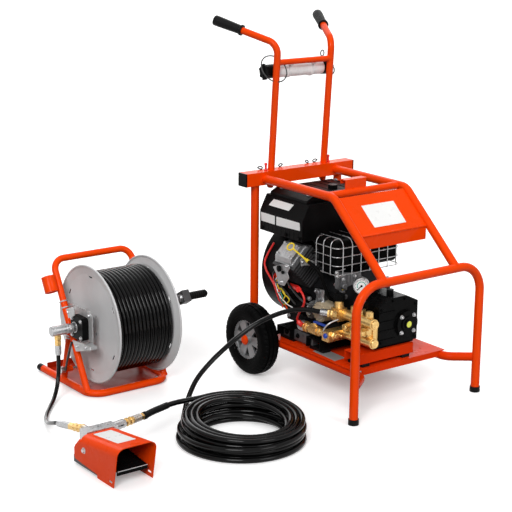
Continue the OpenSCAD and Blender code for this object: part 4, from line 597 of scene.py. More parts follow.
def saddle(name, centre, branch, run, r_branch, r_run):
    """A weld bead along the curve where a branch tube meets a larger tube."""
    branch, run = branch.normalized(), run.normalized()
    side = branch.cross(run).normalized()
    up = run.cross(side)
    up = up if up.dot(branch) > 0 else -up
    rise = max(0.3, branch.dot(up))
    points = []
    for c, s in circle(64):
        v = min(0.999, r_branch * s / r_run)
        w = sqrt(1 - v * v) * r_run
        along = (r_branch * c + branch.dot(run) * w) / rise
        points.append(centre + side * (v * r_run) + up * w + run * along)
    return line(name, points, 1.6, "frame_paint", cyclic=True, facets=2)


for _, s in BOTH:
    saddle(f"weld_side_foot_{s}", at(s * SIDE_X, 0, ARCH_Z), SLOPE_WAY, RIGHT, 15.8, TUBE_R)
    saddle(f"weld_cross_{s}", at(s * SIDE_X, 317.7, CROSS_Z), at(-s, 0, 0), REAR, 14, TUBE_R)
    saddle(f"weld_brace_{s}", at(s * HANDLE_X, 675.9, 1168), at(-s, 0, 0), at(0, -0.07, 1), 11, 13)
for x in LEG_X:
    saddle(f"weld_reel_leg_{x}", at(x, LEG_Y, 13.5), LEG_WAY, REAR, 12.5, 13.5)
line("hood_fold", [at(x, FOLD_Y, FOLD_Z) for x in (-153.5, 153.5)], 4.2, "frame_paint", facets=5)

# Bare plates

PLATE_LIFT, PLATE_THICK, PLATE_ROUND, PLATE_EDGE = 0.4, 0.5, 3, 0.2
SHROUD_X, DECK_Z = -195, 152


def plate(name, corners, normal, mat="plate_white"):
    """A thin plate with rounded corners on a surface, from its corners in order."""
    n = normal.normalized()
    mid = sum(corners, Vector()) / 4
    outline = []
    for i, c in enumerate(corners):
        a = (corners[i - 1] - c).normalized() * PLATE_ROUND
        b = (corners[(i + 1) % 4] - c).normalized() * PLATE_ROUND
        for k in range(5):
            t = k / 4
            outline.append(c + a * (1 - t) * (1 - t) + b * t * t)
    top = [p + n * (PLATE_LIFT + PLATE_THICK) + (mid - p).normalized() * PLATE_EDGE for p in outline]
    bm = bmesh.new()
    prism(bm, [p + n * PLATE_LIFT for p in outline], top)
    return piece(name, bm, mat, smooth=False)


plate("hood_plate",
      [at(-77, 240.2, 701.3), at(75, 240.2, 701.3), at(75, 166.4, 636.2), at(-75, 166.4, 636.2)],
      at(0, -0.662, 0.75))
plate("shroud_plate_top",
      [at(-171, 627, 668.4), at(-171, 505, 668.4), at(-183.6, 520, 644), at(-183.6, 642, 644)],
      at(-0.888, 0, 0.459))
plate("shroud_plate_rear", at_x(SHROUD_X, ((674, 614), (588, 614), (588, 581), (671, 581))), LEFT)
plate("shroud_plate_front", at_x(SHROUD_X, ((579, 614), (440, 616), (436, 587), (579, 581))), LEFT)
plate("deck_plate_label", at_z(DECK_Z, ((-196, 350), (-142, 352), (-148, 222), (-202, 216))), UP,
      "plate_silver")
plate("deck_tag", at_z(DECK_Z, ((-165, 514), (-134, 518), (-133, 500), (-164, 495))), UP)
plate("pedal_plate",
      [at(-1212, 196, 109.9), at(-1146, 196, 109.9), at(-1146, 44, 128.6), at(-1212, 44, 128.6)],
      at(0, 0.1219, 0.9925))

# Engine: screws, ribs and spark leads

LID_Z, SHROUD_SCREW_Z = 705, 556
SLANT = sqrt(0.5)
CRANK_AXIS_Z = 300

bolts("lid_screws", at_z(LID_Z, ((x, y) for x in (-130, 130) for y in (470, 632))), UP, 6, 5)
for name, s in (("shroud_screws", 1), ("shroud_screws_right", -1)):
    spots = [at(s * SHROUD_X, y, SHROUD_SCREW_Z) for y in (440, 520, 664)]
    bolts(name, spots, LEFT * s, 5.5, 5, "black_paint")
skirt_y = [448 + k * 25.5 for k in range(9)]
boxes("shroud_skirt_ribs", [((-195.8, y, 548), (-194.6, y + 4, 575)) for y in skirt_y], "black_plastic", 0.4)
lid_x = [-126 + k * 42 for k in range(7)]
boxes("lid_ribs", [((x - 2, 452, 704.6), (x + 2, 654, 706.4)) for x in lid_x], "black_plastic", 0.5)


def on_cyl(side, y, across, up, along):
    """A point on a cylinder's slant: up its axis, across it and along the engine."""
    a = at(side * SLANT, 0, SLANT)
    b = at(SLANT, 0, -side * SLANT)
    return at(0, y + along, CRANK_AXIS_Z) + a * up + b * across


def cover_outline(side, y, half_u, half_v, up):
    """A rectangle square to a cylinder's axis."""
    corners = ((-half_u, -half_v), (half_u, -half_v), (half_u, half_v), (-half_u, half_v))
    return [on_cyl(side, y, u, up, v) for u, v in corners]


for (tag, side), y in zip(BOTH, (495, 525)):
    heads = [on_cyl(side, y, u, 288, v) for u in (-24, 24) for v in (-36, 36)]
    bolts(f"valve_cover_bolts_{tag}", heads, at(side * SLANT, 0, SLANT), 5.8, 7)
    bm = bmesh.new()
    for v in (-18, 0, 18):
        prism(bm, cover_outline(side, y + v, 27, 2, 287.5), cover_outline(side, y + v, 25, 1.2, 290))
    piece(f"valve_cover_ribs_{tag}", bm, "bright_alu", smooth=False, bevel=0.4)
    boot = [on_cyl(side, y, -side * u, up, v)
            for u, up, v in ((44, 238, -60), (52, 238, -78), (50, 234, -92), (40, 200, -112))]
    line(f"spark_boot_{tag}", smooth_line(boot[:3], 6), 8.5, "black_rubber", facets=5)
    lead = boot[2:] + [at(side * x, y + dy, z) for x, dy, z in ((96, -150, 430), (90, -60, 470))]
    lead.append(at(side * 110, 470, 545))
    line(f"spark_lead_{tag}", smooth_line(lead), 3.6, "wire_black")

# Starter, its cables and the wiring

STARTER_X, STARTER_Z = -155, 292

wire("starter_cable_red",
     [(-210, 420, 372), (-212, 400, 366), (-213, 384, 347), (-213, 385, 326), (-212, 400, 303),
      (-212, 417, 278), (-212, 424, 258), (-210, 414, 248)], 4.2, "red_vinyl", 5)
wire("starter_boot_red", [(-180, 506, 362), (-187, 476, 364), (-199, 446, 371), (-211, 420, 372)], 10.5,
     "red_vinyl", 5, 6)
wire("inlet_boot_red", [(-212, 417, 252), (-209, 408, 244), (-207, 398, 240)], 9.5, "red_vinyl", 5, 6)
HARNESS = (
    ("black", "wire_black", 4.2,
     ((-150, 560, 420), (-172, 540, 380), (-196, 500, 376), (-204, 450, 352), (-202, 410, 332),
      (-182, 380, 318), (-156, 366, 330), (-134, 352, 352))),
    ("red", "red_vinyl", 4,
     ((-158, 640, 496), (-186, 656, 432), (-190, 646, 396), (-188, 600, 350), (-176, 588, 300))),
    ("orange", "frame_paint", 2.8,
     ((-186, 588, 405), (-184, 588, 362), (-173, 588, 326), (-159, 586, 290), (-158, 582, 255))),
    ("orange_low", "frame_paint", 2.6,
     ((-196, 560, 352), (-199, 548, 320), (-196, 530, 292), (-197, 508, 282), (-196, 500, 262))),
    ("yellow", "yellow_plastic", 2.4,
     ((-200, 540, 349), (-201, 520, 331), (-202, 497, 325), (-202, 486, 315), (-201, 501, 299),
      (-200, 520, 291))),
    ("white", "white_plastic", 2,
     ((-170, 592, 379), (-176, 592, 352), (-161, 592, 322), (-165, 590, 295), (-152, 586, 268))),
    ("yellow_back", "yellow_plastic", 2,
     ((-186, 566, 384), (-203, 560, 372), (-207, 545, 350), (-208, 520, 346), (-206, 505, 330),
      (-207, 515, 312), (-188, 532, 296))),
    ("white_front", "white_plastic", 2,
     ((-184, 582, 380), (-201, 575, 365), (-206, 556, 342), (-207, 535, 318), (-206, 512, 306),
      (-203, 494, 296), (-184, 478, 282))),
    ("red_low", "red_vinyl", 2.2,
     ((-186, 588, 394), (-204, 580, 384), (-208, 566, 356), (-206, 552, 330), (-203, 548, 302),
      (-182, 540, 276))),
    ("black_loom", "wire_black", 3.4,
     ((-184, 598, 400), (-199, 590, 392), (-206, 570, 372), (-208, 540, 366), (-207, 516, 352),
      (-205, 496, 340), (-201, 478, 322), (-184, 464, 298))),
    ("green", "dial_green", 2,
     ((-186, 574, 360), (-202, 568, 350), (-207, 550, 330), (-208, 532, 334), (-207, 520, 318),
      (-205, 526, 300), (-184, 520, 278))),
)
for tag, mat, thick, route in HARNESS:
    wire(f"harness_{tag}", route, thick, mat)
for i, (x, mat) in enumerate(((-124, "wire_black"), (-116, "yellow_plastic"))):
    wire(f"governor_wire_{i}", [(x, 300, 440), (x - 4, 282, 408), (x - 2, 280, 380), (x + 2, 286, 352)],
         1.9, mat)
bm = bmesh.new()
hexagon(bm, at(-172.5, 410, 336), FRONT, 8, 12)
lathe(bm, at(STARTER_X, 402.2, STARTER_Z), FRONT, [(0, 34.5), (3, 34.5), (4.5, 31), (4.6, 17.8)], 36)
lathe(bm, at(STARTER_X, 394, STARTER_Z), FRONT, [(0, 17.2), (2, 16.2), (2.5, 6)], 28)
piece("starter_end_cap", bm, "bright_alu")
spots = [at(STARTER_X + 25 * cos(a), 398, STARTER_Z + 24 * sin(a)) for a in (0.6, 2.2, 3.8, 5.4)]
bolts("starter_bolts", spots, FRONT, 4.2, 5)

# Brackets and castings beside the crankcase

CONTROL_X, GOVERNOR_X, GUARD_X, CASE_X, RAIL_X = -229, -150, -164, -120, -180
STRIP_Y, CASTING_Y, THROTTLE_Y = 400, 288, 282

side_sheet("control_bracket", CONTROL_X,
           ((548, 434), (503, 452), (458, 463), (448, 450), (462, 429), (452, 412), (480, 375),
            (514, 376), (528, 410)), 3, "bright_alu", ((466, 452), (494, 388)))
bm = bmesh.new()
lathe(bm, at(-231.8, 508, 436), LEFT, [(0, 12), (6, 12), (7, 10)], 28)
lathe(bm, at(-231.8, 486, 426), LEFT, [(0, 6.5), (5, 6.5), (6, 5)], 20)
piece("choke_housing", bm, "black_plastic")
boxes("control_bracket_arms",
      [((CONTROL_X, 500, 404), (-196, 522, 416)), ((CONTROL_X, 462, 440), (-214, 476, 452))],
      "cast_alu", 1)
front_sheet("guard_strip", STRIP_Y,
            ((-222, 495), (-208, 497), (-157, 475), (-157, 459), (-203, 468), (-217, 466)),
            3, "zinc", ((-213, 482), (-166, 467)))
side_sheet("governor_casting", GOVERNOR_X,
           ((394, 374), (337, 380), (344, 352), (335, 328), (352, 312), (392, 318), (382, 347)),
           8, "bright_alu", ((385, 366), (347, 333)), 2)
bm = bmesh.new()
for y, z, r in ((368, 366, 11), (362, 340, 8.5), (364, 322, 7.5)):
    lathe(bm, at(-157.5, y, z), LEFT, [(0, r), (8, r), (10, r * 0.75), (10.5, r * 0.3)], 24)
box(bm, (-157, 352, 330), (-120, 376, 346))
piece("governor_casting_bosses", bm, "cast_alu", bevel=1)
front_sheet("crankcase_casting", CASTING_Y,
            ((-150, 458), (-94, 449), (-30, 438), (-26, 408), (-90, 396), (-112, 376), (-150, 398)),
            5, "cast_alu", ((-138, 440), (-60, 432), (-104, 390)), 1.5)
boxes("crankcase_casting_ribs",
      [((x - 1.5, 280, 410), (x + 1.5, 283.5, 438)) for x in range(-128, -47, 16)], "cast_alu", 0.6)
boxes("engine_base_rail", [((RAIL_X, 372, 160), (-152, 545, 200))], "cast_alu", 2)
bolts("engine_base_bolts", [at(RAIL_X, y, 180) for y in (392, 458, 524)], LEFT, 6.5, 6, "black_paint")
side_sheet("guard_foot_left", GUARD_X, ((268, 470), (252, 470), (252, 446), (268, 446)), 2, "zinc",
           ((260, 464), (260, 452)))
for z in (470, 446):
    line(f"guard_tie_{z}", [at(-164.5, 262, z), at(-150, 262, z), at(-120, 268, z)], 1.8, "steel")
front_sheet("throttle_plate", THROTTLE_Y,
            ((-128, 440), (-106, 440), (-102, 420), (-112, 390), (-108, 362), (-122, 352), (-134, 372),
             (-130, 410)), 3, "cast_alu", ((-118, 428), (-120, 368)))
bm = bmesh.new()
for x, z, r in ((-118, 404, 11), (-124, 382, 8), (-113, 364, 9)):
    lathe(bm, at(x, 279, z), FRONT, [(0, r), (10, r), (12, r * 0.8)], 20)
piece("governor_bosses", bm, "cast_alu")

# Oil filter and crankcase screws

FILTER_X, FILTER_Y, FILTER_Z, FILTER_R = -173.8, 346, 298, 31
bm = bmesh.new()
for c, s in circle(15):
    lathe(bm, at(FILTER_X, FILTER_Y + FILTER_R * c, FILTER_Z + FILTER_R * s), LEFT, [(0, 4.2), (2, 3.6)], 10)
lathe(bm, at(FILTER_X, FILTER_Y, FILTER_Z), LEFT, [(0, 25), (2.4, 25), (3.4, 23)], 36)
piece("oil_filter_end", bm, "filter_tan")
bolts("crankcase_bolts", at_x(CASE_X, ((300, 216), (318, 400), (430, 216), (590, 216), (590, 380))), LEFT,
      5.5, 6)
bolts("crankcase_bolts_front", at_y(290, ((-100, 232), (104, 232), (-104, 396), (104, 396))), FRONT, 5.5, 6)

# Back of the engine: spokes, rim and hub of the fan screen, housing screws

FAN_Y, FAN_Z, FAN_SPOKES, HOUSING_R = 686.0, 385.8, 8, 165
for k, (c, s) in enumerate(circle(FAN_SPOKES, 0.2)):
    spoke = [at(r * c, FAN_Y + 0.5, FAN_Z + r * s) for r in (22, 45, 68, 92)]
    line(f"fan_spoke_{k}", spoke, 3, "black_plastic")
ring("fan_screen_rim", at(0, FAN_Y - 1, FAN_Z), REAR, 96, 4, "black_plastic", count=64)
turned("fan_hub", [at(0, FAN_Y - 1, FAN_Z)], REAR, [(0, 30), (4, 30), (6, 26), (6, 10), (9, 9)], "steel")
bolts("fan_housing_screws", [at(HOUSING_R * cos(a), 680, FAN_Z + HOUSING_R * sin(a))
                             for a in (0.1, 1.05, 2.09, 3.04, 4.19, 5.24)], REAR, 6, 6)

# Pump: bolts, sight glass, hexagons and threads of the brass

GALLERY_X, GALLERY_Z = -131.5, (238, 308)
CAP_RING = [(0, 11.5), (2.2, 11), (3, 8.5)]
SEAT_RING = [(0, 16.8), (3, 16.8), (3.4, 15.5)]
THREAD_TURNS, THREAD_STEPS, THREAD_THICK = 7, 24, 0.9

bm = bmesh.new()
for x, z, size in ((-188, 240, 15), (-165, 236, 9.5)):
    hexagon(bm, at(x, 245.2, z), FRONT, size, 12)
    lathe(bm, at(x, 233.4, z), FRONT, [(0, size * 0.62), (10, size * 0.62), (11.5, size * 0.5)], 24)
piece("inlet_block_plugs", bm, "brass", smooth=False)
turned("inlet_block_cap", [at(-203, 262, 236)], LEFT, [(0, 9.5), (10, 9.5), (12, 7.5)],
       "blue_vinyl", sides=24)
wire("sensing_tube", [(-203, 275, 246), (-214, 268, 256), (-216, 258, 270), (-208, 248, 284),
                      (-190, 244, 292), (-170, 240, 296)], 3.2, "steel", 4)
spots = [at(COVER_X + dx, 90, COVER_Z + dz) for dx in (-29, 29) for dz in (-29, 29)]
turned("pump_cover_screws", spots, FRONT,
       [(0, 7.5), (2, 7.5), (2.2, 5.6), (7.5, 5.6), (8.5, 4.6), (8.5, 3), (6, 3)], "steel", sides=24)
turned("sight_glass_ring", [at(COVER_X, 80.4, COVER_Z)], FRONT,
       [(0, 17.5), (1.5, 17.5), (2.2, 16.5), (2.2, 12.8), (0.2, 12.2)], "black_plastic")
turned("sight_glass", [at(COVER_X, 80.3, COVER_Z)], FRONT,
       [(0, 12.2), (0.6, 12), (1.3, 8.5), (1.6, 3)], "sight_yellow", sides=36)
spots = at_y(100, ((-88, 228), (73, 228), (-88, 350), (-36, 376), (20, 376), (73, 350)))
bolts("pump_case_screws", spots, FRONT, 5, 5, "black_paint", washer=False)
bm = bmesh.new()
for z in GALLERY_Z:
    for y in (93, 235):
        lathe(bm, at(GALLERY_X, y, z), FRONT, band(18.6, 19.5, 4.6), 48)
    lathe(bm, at(GALLERY_X, 82.3, z), FRONT, [(0, 15.8), (1.4, 14.6), (1.8, 9), (0.8, 8)])
piece("gallery_rings", bm, "brass")
bm = bmesh.new()
for k, y in enumerate(TOWER_Y):
    if k != 1:
        lathe(bm, at(TOWER_X, y, 343.8), UP, CAP_RING, 32)
    lathe(bm, at(TOWER_X, y, 321.8), UP, SEAT_RING)
    lathe(bm, at(-167.3, y, 273), LEFT, CAP_RING, 32)
    lathe(bm, at(-145.3, y, 273), LEFT, SEAT_RING)
piece("manifold_cap_rings", bm, "brass")
bolts("manifold_screws", [at(-108, y, 300) for y in (112, 147, 188, 223)], UP, 5.2, 6)
threads = helix(at(INLET_X, 398, INLET_Z), REAR, 20.2, 26, THREAD_TURNS, THREAD_STEPS)
line("inlet_thread", threads, THREAD_THICK, "steel", facets=2)
threads = helix(at(UNLOADER_X, UNLOADER_Y, 333), UP, 16, 18, THREAD_TURNS, THREAD_STEPS)
line("unloader_thread", threads, THREAD_THICK, "brass", facets=2)
places = [(at(INLET_X, y, INLET_Z), size, 12) for y, size in ((284, 16.5), (310, 16.5), (383, 19.5))]
nuts("inlet_nuts", places, REAR, "brass")


def back_from_outlet(d):
    return OUTLET_END - OUTLET_WAY * d


nuts("outlet_nuts", [(back_from_outlet(d), 15.5, 7) for d in (47, 34)], OUTLET_WAY, "brass")
turned("outlet_ferrule_rings", [back_from_outlet(d) for d in (24, 17, 10, 5)], OUTLET_WAY,
       band(12.4, 13, 3.9, 0.5), "steel", sides=36)
bm = bmesh.new()
for c, s in circle(12):
    lathe(bm, at(UNLOADER_X + 19.4 * c, UNLOADER_Y + 19.4 * s, 360), UP,
          [(0, 2.2), (1, 2.7), (19, 2.7), (20, 2)], 10)
lathe(bm, at(UNLOADER_X, UNLOADER_Y, 383.4), UP, [(0, 14), (0.8, 13.6), (1.2, 12)], 32)
piece("unloader_knob_ribs", bm, "black_plastic", "unloader_knob")

# Gauge: dial, marks, arc and ring

GAUGE, GAUGE_N = at(-128.5, TOWER_Y[1], 434), at(-0.6018, -0.7986, 0)
GAUGE_SIDE = GAUGE_N.cross(UP).normalized()
DIAL, MARK_LIFT, ARC_LIFT = 10.2, 0.12, 0.16
MARKS, MARK_STEP, MARK_START, MARK_R = 46, 6, -135, 23.2
ARC_COUNT, ARC_STEP, ARC_START = 43, 5, -120


def on_gauge(angle, r, d):
    a = radians(angle)
    return GAUGE + (GAUGE_SIDE * -sin(a) + UP * cos(a)) * r + GAUGE_N * d


turned("gauge_dial", [GAUGE + GAUGE_N * (DIAL - 0.2)], GAUGE_N, [(0, 25.7), (0.3, 25.7)],
       "dial_white", sides=64, smooth=False)
bm = bmesh.new()
for k in range(MARKS):
    angle = MARK_START + MARK_STEP * k
    r0, half = (18.8, 0.7) if k % 5 == 0 else (20.8, 0.35)
    across = on_gauge(angle + 90, half, 0) - GAUGE
    quad = [on_gauge(angle, r, DIAL + MARK_LIFT) + across * side
            for r, side in ((r0, -1), (MARK_R, -1), (MARK_R, 1), (r0, 1))]
    bm.faces.new([bm.verts.new(p) for p in quad])
piece("gauge_marks", bm, "wire_black", smooth=False)
bm = bmesh.new()
arcs = []
for r in (13.5, 16.3):
    points = [on_gauge(ARC_START + ARC_STEP * k, r, DIAL + ARC_LIFT) for k in range(ARC_COUNT)]
    arcs.append([bm.verts.new(p) for p in points])
for corners in zip(arcs[0], arcs[0][1:], arcs[1][1:], arcs[1]):
    bm.faces.new(corners)
piece("gauge_arc", bm, "dial_green", smooth=False)
ring("gauge_ring", GAUGE + GAUGE_N * 13.5, GAUGE_N, 27.1, 1.9, "steel", count=64)

# Wheels: lugged tyres with rounded walls, black discs behind the rims as painted shade in their windows, air
# valves

AXLE_Y, WHEEL_X, WHEEL_R = 642.0, 256.5, 136
TYRE_SIDES, TYRE_WIDEN = 160, 1.25
EDGE_LUG, EDGE_CUT = (16.1, 26), 3.6
MID_LUG, MID_CUT = (6, 8), 2.6
HALF_TYRE = [(-21, 76.2), (-25, 77.5), (-27.5, 82), (-29.2, 92), (-30, 104), (-29.4, 114), (-27.6, 121),
             (-25, 127.2), (-21, 131.6), (-16.2, 134.6), (-16, 130.8), (-12.2, 130.8), (-12, 135.9),
             (-7, 136), (-2.2, 136), (-2, 131.6)]
TYRE = HALF_TYRE + [(-u, r) for u, r in reversed(HALF_TYRE)]


def lug_cut(u, k):
    """How far the tread is cut back at one place across and round it."""
    if EDGE_LUG[0] < abs(u) < EDGE_LUG[1] and (k + (2 if u > 0 else 0)) % 4 == 0:
        return EDGE_CUT
    return MID_CUT if MID_LUG[0] < abs(u) < MID_LUG[1] and k % 4 == 2 else 0.0


for tag, side in BOTH:
    body = f"wheel_{tag}"
    out = at(side, 0, 0)
    middle = at(side * WHEEL_X, AXLE_Y, WHEEL_R)
    # A black disc behind the rim: painted shade seen through its windows
    bm = bmesh.new()
    edges = []
    for lift, r in ((6, 26), (4, 70.5)):
        edges.append([bm.verts.new(middle + out * lift + at(0, c, s) * r) for c, s in circle(48)])
    skin(bm, *edges)
    piece(f"rim_shade_disc_{tag}", bm, "black_paint", body)
    bm = bmesh.new()
    rows = []
    for u, r in TYRE:
        row = []
        for k, (c, s) in enumerate(circle(TYRE_SIDES)):
            depth = r - lug_cut(u, k)
            row.append(bm.verts.new(middle + at(u * TYRE_WIDEN * side, c * depth, s * depth)))
        rows.append(row)
    for lo, hi in zip(rows, rows[1:] + rows[:1]):
        skin(bm, lo, hi)
    tyre = piece(f"lugged_tyre_{body}", bm, "tyre_rubber", body, angle=0.5)
    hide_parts(f"tyre_{tag}")
    for r, lift in ((83.5, 34.3), (90.5, 35.8), (112, 36.5)):
        ring(f"wall_line_{body}_{int(r * 10)}", middle + out * lift, out, r, 1, "tyre_rubber", body, 96)
    turned(f"air_valve_{body}", [middle + out * 28.5 + at(0, 55, -45)], out,
           [(0, 4), (12, 4), (12.5, 2.8)], "black_rubber", body, 14)
# Thin black rings on the manifold towers: painted shade in their grooves
for k, y in enumerate(TOWER_Y):
    for z in (254, 292, 303):
        ring(f"tower_groove_shade_{k}_{z}", at(TOWER_X, y, z), UP, 16.9, 0.9, "wire_black", count=40)

# Reel: bearings, clamps, swivel, brackets, lock pull and crank

BEARING_X, BEARING_OUT, BEARING_DROP, BOLT_HALF = (-888.5, -585.5), 26.2, 14, 31
BRACKET_X = -916
CRANK_Y, CRANK_Z = 694.6, 331.4
STRUT_WAY = at(0, 56.4, -223).normalized()


def on_reel(x):
    return at(x, REEL_Y, REEL_Z)


def on_swivel(z):
    return at(SWIVEL_X, REEL_Y, z)


for (tag, side), face in zip(BOTH, BEARING_X):
    out = at(side, 0, 0)
    spots = [at(face + side * BEARING_OUT, REEL_Y - BEARING_DROP + dy, REEL_Z + dz) - out * 0.5
             for dy in (-BOLT_HALF, BOLT_HALF) for dz in (-BOLT_HALF, BOLT_HALF)]
    turned(f"bearing_bolts_{tag}", spots, out,
           [(0, 7.2), (1.2, 7.2), (1.5, 6), (5, 5.8), (6, 4.5)], "steel", sides=24)
    ring(f"bearing_ring_{tag}", on_reel(face + side * 26.6), RIGHT, 18.5, 1.8, "steel", count=48)
    spots = at_x(face, ((884, 304), (768, 304), (768, 196), (828, 194)))
    bolts(f"bracket_bolts_{tag}", spots, out, 6, 6)
for (tag, _), x in zip(BOTH, LEG_X):
    leg = at(x, LEG_Y + 298 * LEG_SLOPE, 310)
    for k, d in enumerate((-12, 12)):
        ring(f"leg_clamp_{tag}_{k}", leg + LEG_WAY * d, LEG_WAY, 13.6, 2.6, "zinc", count=40)
    for name, y, z in (("strut_clamp", 893.7, 203), ("strut_clamp_low", 896, 194)):
        ring(f"{name}_{tag}", at(x, y, z), STRUT_WAY, 12.6, 2.6, "zinc", count=40)
bm = bmesh.new()
lathe(bm, on_reel(-1009.6), LEFT, [(0, 17.2), (2, 16.5), (3, 10)], 36)
for x in (-1002, -952):
    lathe(bm, on_reel(x), RIGHT, band(18.6, 19.2, 4.6))
piece("swivel_rings", bm, "bright_alu")
bm = bmesh.new()
hexagon(bm, on_reel(-941), RIGHT, 17.5, 12)
lathe(bm, on_reel(-928), RIGHT, band(15.2, 16, 8.6))
piece("shaft_nut", bm, "steel", "reel", smooth=False)
nuts("swivel_nuts", [(on_swivel(228), 13.8, 12), (on_swivel(208), 13, 10)], DOWN, "brass")
turned("swivel_ferrule_rings", [on_swivel(190 - 6 * k) for k in range(4)], DOWN,
       band(10.9, 11.5, 4), "steel", sides=32)
side_sheet("bracket_ear", BRACKET_X, ((880, 307), (854, 319), (822, 322), (822, 296), (864, 276)),
           4, "zinc", ((862, 300),))
side_sheet("bracket_clamp", BRACKET_X, ((838, 200), (758, 207), (712, 206), (708, 196), (814, 163)),
           5, "zinc", ((802, 186), (742, 197)))
boxes("bracket_clamp_foot", [((BRACKET_X, 716, 192), (-888, 760, 204))], "zinc", 1)
wire("lock_pull", [(-919, 846, 190), (-922, 862, 150), (-922, 882, 100), (-921, 893, 70)], 4.2,
     "wire_black", 5)
bolts("crank_pin_nut", [at(-544.5, CRANK_Y, CRANK_Z)], LEFT, 10, 7, body="reel")
bolts("crank_hub_bolt", [on_reel(-530.5)], RIGHT, 12, 6, body="reel")
turned("crank_grip_ridges", [at(-507 + k * 9.6, CRANK_Y, CRANK_Z) for k in range(7)], RIGHT,
       band(14.3, 14.9, 5.8, 0.8), "black_rubber", "crank_grip", 36)

# Foot valve: guard skirts, treadle edge, return spring, screws and hexagons

GUARD_LEFT_X, PIVOT_Y, PIVOT_Z = -1249.5, 190, 66
SKIRT = ((112, 12), (205, 17), (246, 20), (253, 28), (253, 56), (246, 68), (214.7, 98), (214.7, 54.2),
         (110.3, 30.4))
SPRING_FOOT, SPRING_R, SPRING_HIGH = at(-1140, 150, 30), 9, 15
SPRING_TURNS, SPRING_STEPS = 7, 16
FERRULE_STEP = 8

bolts("guard_pivot_nuts", [at(GUARD_LEFT_X, PIVOT_Y, PIVOT_Z)], LEFT, 6.8, 6)
bolts("guard_pivot_nut_right", [at(-1104.5, PIVOT_Y, PIVOT_Z)], RIGHT, 6.8, 6)
for (tag, _), x in zip(BOTH, (GUARD_LEFT_X, -1107.5)):
    sheet(f"guard_skirt_{tag}", at_x(x, SKIRT), RIGHT, 3, "frame_paint")
line("treadle_edge", [at(x, 16.2, 48.2) for x in (-1231, -1123)], 1.6, "steel", "treadle")
spring = helix(SPRING_FOOT, UP, SPRING_R, SPRING_HIGH, SPRING_TURNS, SPRING_STEPS, pi)
line("return_spring", spring, 1.1, "steel", facets=2)
bolts("valve_body_bolts", at_y(261, ((-1212, 22), (-1118, 22), (-1118, 60))), REAR, 5.5, 6)
bolts("valve_top_bolts", [at(-1165, 238, 112)], UP, 7, 6)
nuts("left_port_nuts", [(LEFT_PORT + LEFT_WAY * d, size, high)
                        for d, size, high in ((14, 14.2, 14), (40, 14.2, 12), (62, 13.6, 10))],
     LEFT_WAY, "brass")
nuts("right_port_steel_nut", [(RIGHT_PORT + RIGHT_WAY * 38, 15, 14)], RIGHT_WAY, "steel")
nuts("right_port_nuts",
     [(RIGHT_PORT + RIGHT_WAY * d, 14.2, high) for d, high in ((60, 12), (80, 10))], RIGHT_WAY, "brass")
for tag, port, way, first, count, r in (("left", LEFT_PORT, LEFT_WAY, 104, 7, 11),
                                        ("right", RIGHT_PORT, RIGHT_WAY, 96, 5, 12.5)):
    spots = [port + way * (first + FERRULE_STEP * k) for k in range(count)]
    turned(f"{tag}_port_ferrule_rings", spots, way, band(r - 0.2, r + 0.6, 4.6), "steel", sides=32)
turned("sleeve_clamp", [RIGHT_END + RIGHT_WAY * 6], RIGHT_WAY, band(11.4, 13.4, 12, 1),
       "black_rubber", sides=32)

# Camera, floor (in metres) and light

FOCAL_PIXELS, PHOTO_PIXELS, SENSOR = 1446.5, 512, 36.0
YAW, PITCH, ROLL = radians(36.65), radians(14.62), radians(0.50)
CAMERA_PLACE = at(-3368.5, -3561.7, 1822.7)
FLOOR_HALF, FLOOR_Z, FLOOR_SHADE, FLOOR_GLOW = 30, -0.0006, 0.22, 0.22
SKY_LOW, SKY_HIGH, SKY_FOCUS = 0.06, 2.42, 12.0

cam_data = bpy.data.cameras.new("photo_camera")
cam_data.sensor_width = SENSOR
cam_data.lens = FOCAL_PIXELS / PHOTO_PIXELS * SENSOR
cam_data.clip_end = 100.0
cam = bpy.data.objects.new("photo_camera", cam_data)
fwd = at(sin(YAW) * cos(PITCH), cos(YAW) * cos(PITCH), -sin(PITCH))
level = at(cos(YAW), -sin(YAW), 0)
plumb = fwd.cross(level)
right = level * cos(ROLL) - plumb * sin(ROLL)
down = level * sin(ROLL) + plumb * cos(ROLL)
turn = Matrix((right, -down, -fwd)).transposed()
cam.matrix_world = Matrix.Translation(place(CAMERA_PLACE)) @ turn.to_4x4()
SCENE.collection.objects.link(cam)
SCENE.camera = cam


def backdrop_ray(tree):
    """One for the rays that see the background: from the camera, off a gloss or through glass."""
    path = tree.nodes.new("ShaderNodeLightPath")
    seen = path.outputs["Is Camera Ray"]
    for other in ("Is Glossy Ray", "Is Transmission Ray"):
        either = tree.nodes.new("ShaderNodeMath")
        either.operation = "MAXIMUM"
        tree.links.new(seen, either.inputs[0])
        tree.links.new(path.outputs[other], either.inputs[1])
        seen = either.outputs[0]
    return seen


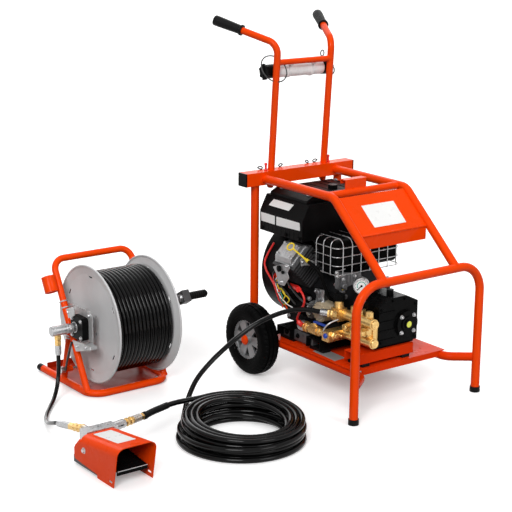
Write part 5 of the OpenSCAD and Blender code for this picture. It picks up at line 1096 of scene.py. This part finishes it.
def floor_material():
    """White where the background is seen, grey where it lights the object."""
    mat = bpy.data.materials.new("floor")
    mat.use_nodes = True
    tree = mat.node_tree
    bsdf = tree.nodes["Principled BSDF"]
    seen = backdrop_ray(tree)
    shade = ramp(tree, seen, [(0.0, (FLOOR_SHADE,) * 3), (1.0, (1.0, 1.0, 1.0))])
    tree.links.new(shade, bsdf.inputs["Base Color"])
    tree.links.new(span(tree, seen, 0.0, FLOOR_GLOW, 0.0, 1.0), bsdf.inputs["Emission Strength"])
    fill(bsdf, {"Emission Color": (1, 1, 1, 1), "Roughness": 0.6, "Specular IOR Level": 0.15})
    return mat


floor_mesh = bpy.data.meshes.new("floor")
floor_points = [(x * FLOOR_HALF, y * FLOOR_HALF, FLOOR_Z) for x, y in ((-1, -1), (1, -1), (1, 1), (-1, 1))]
floor_mesh.from_pydata(floor_points, [], [(0, 1, 2, 3)])
ground = bpy.data.objects.new("floor", floor_mesh)
floor_mesh.materials.append(floor_material())
SCENE.collection.objects.link(ground)

world = bpy.data.worlds.new("studio")
world.use_nodes = True
sky = world.node_tree
shine = sky.nodes["Background"]
shine.inputs["Color"].default_value = (1, 1, 1, 1)
height = sky.nodes.new("ShaderNodeSeparateXYZ")
sky.links.new(sky.nodes.new("ShaderNodeTexCoord").outputs["Generated"], height.inputs[0])
bright = sky.nodes.new("ShaderNodeMath")
bright.operation = "POWER"
bright.inputs[1].default_value = SKY_FOCUS
sky.links.new(height.outputs["Z"], bright.inputs[0])
backdrop = sky.nodes.new("ShaderNodeMix")
sky.links.new(backdrop_ray(sky), backdrop.inputs["Factor"])
sky.links.new(span(sky, bright.outputs[0], SKY_LOW, SKY_HIGH, 0.0, 1.0), backdrop.inputs["A"])
backdrop.inputs["B"].default_value = 1.0
sky.links.new(backdrop.outputs["Result"], shine.inputs["Strength"])
SCENE.world = world


def lamp(name, toward, strength, spread):
    """A broad far lamp that shines from a direction."""
    data = bpy.data.lights.new(name, "SUN")
    data.energy = strength
    data.angle = radians(spread)
    obj = bpy.data.objects.new(name, data)
    obj.rotation_euler = (-toward).to_track_quat("-Z", "Y").to_euler()
    SCENE.collection.objects.link(obj)


lamp("key", at(-0.68, -0.58, 0.62), 2.1, 26)
lamp("front", at(0.20, -0.90, 0.50), 0.8, 26)
lamp("back", at(0.45, 0.85, 0.60), 1.2, 60)
SCENE.view_settings.view_transform = "Standard"
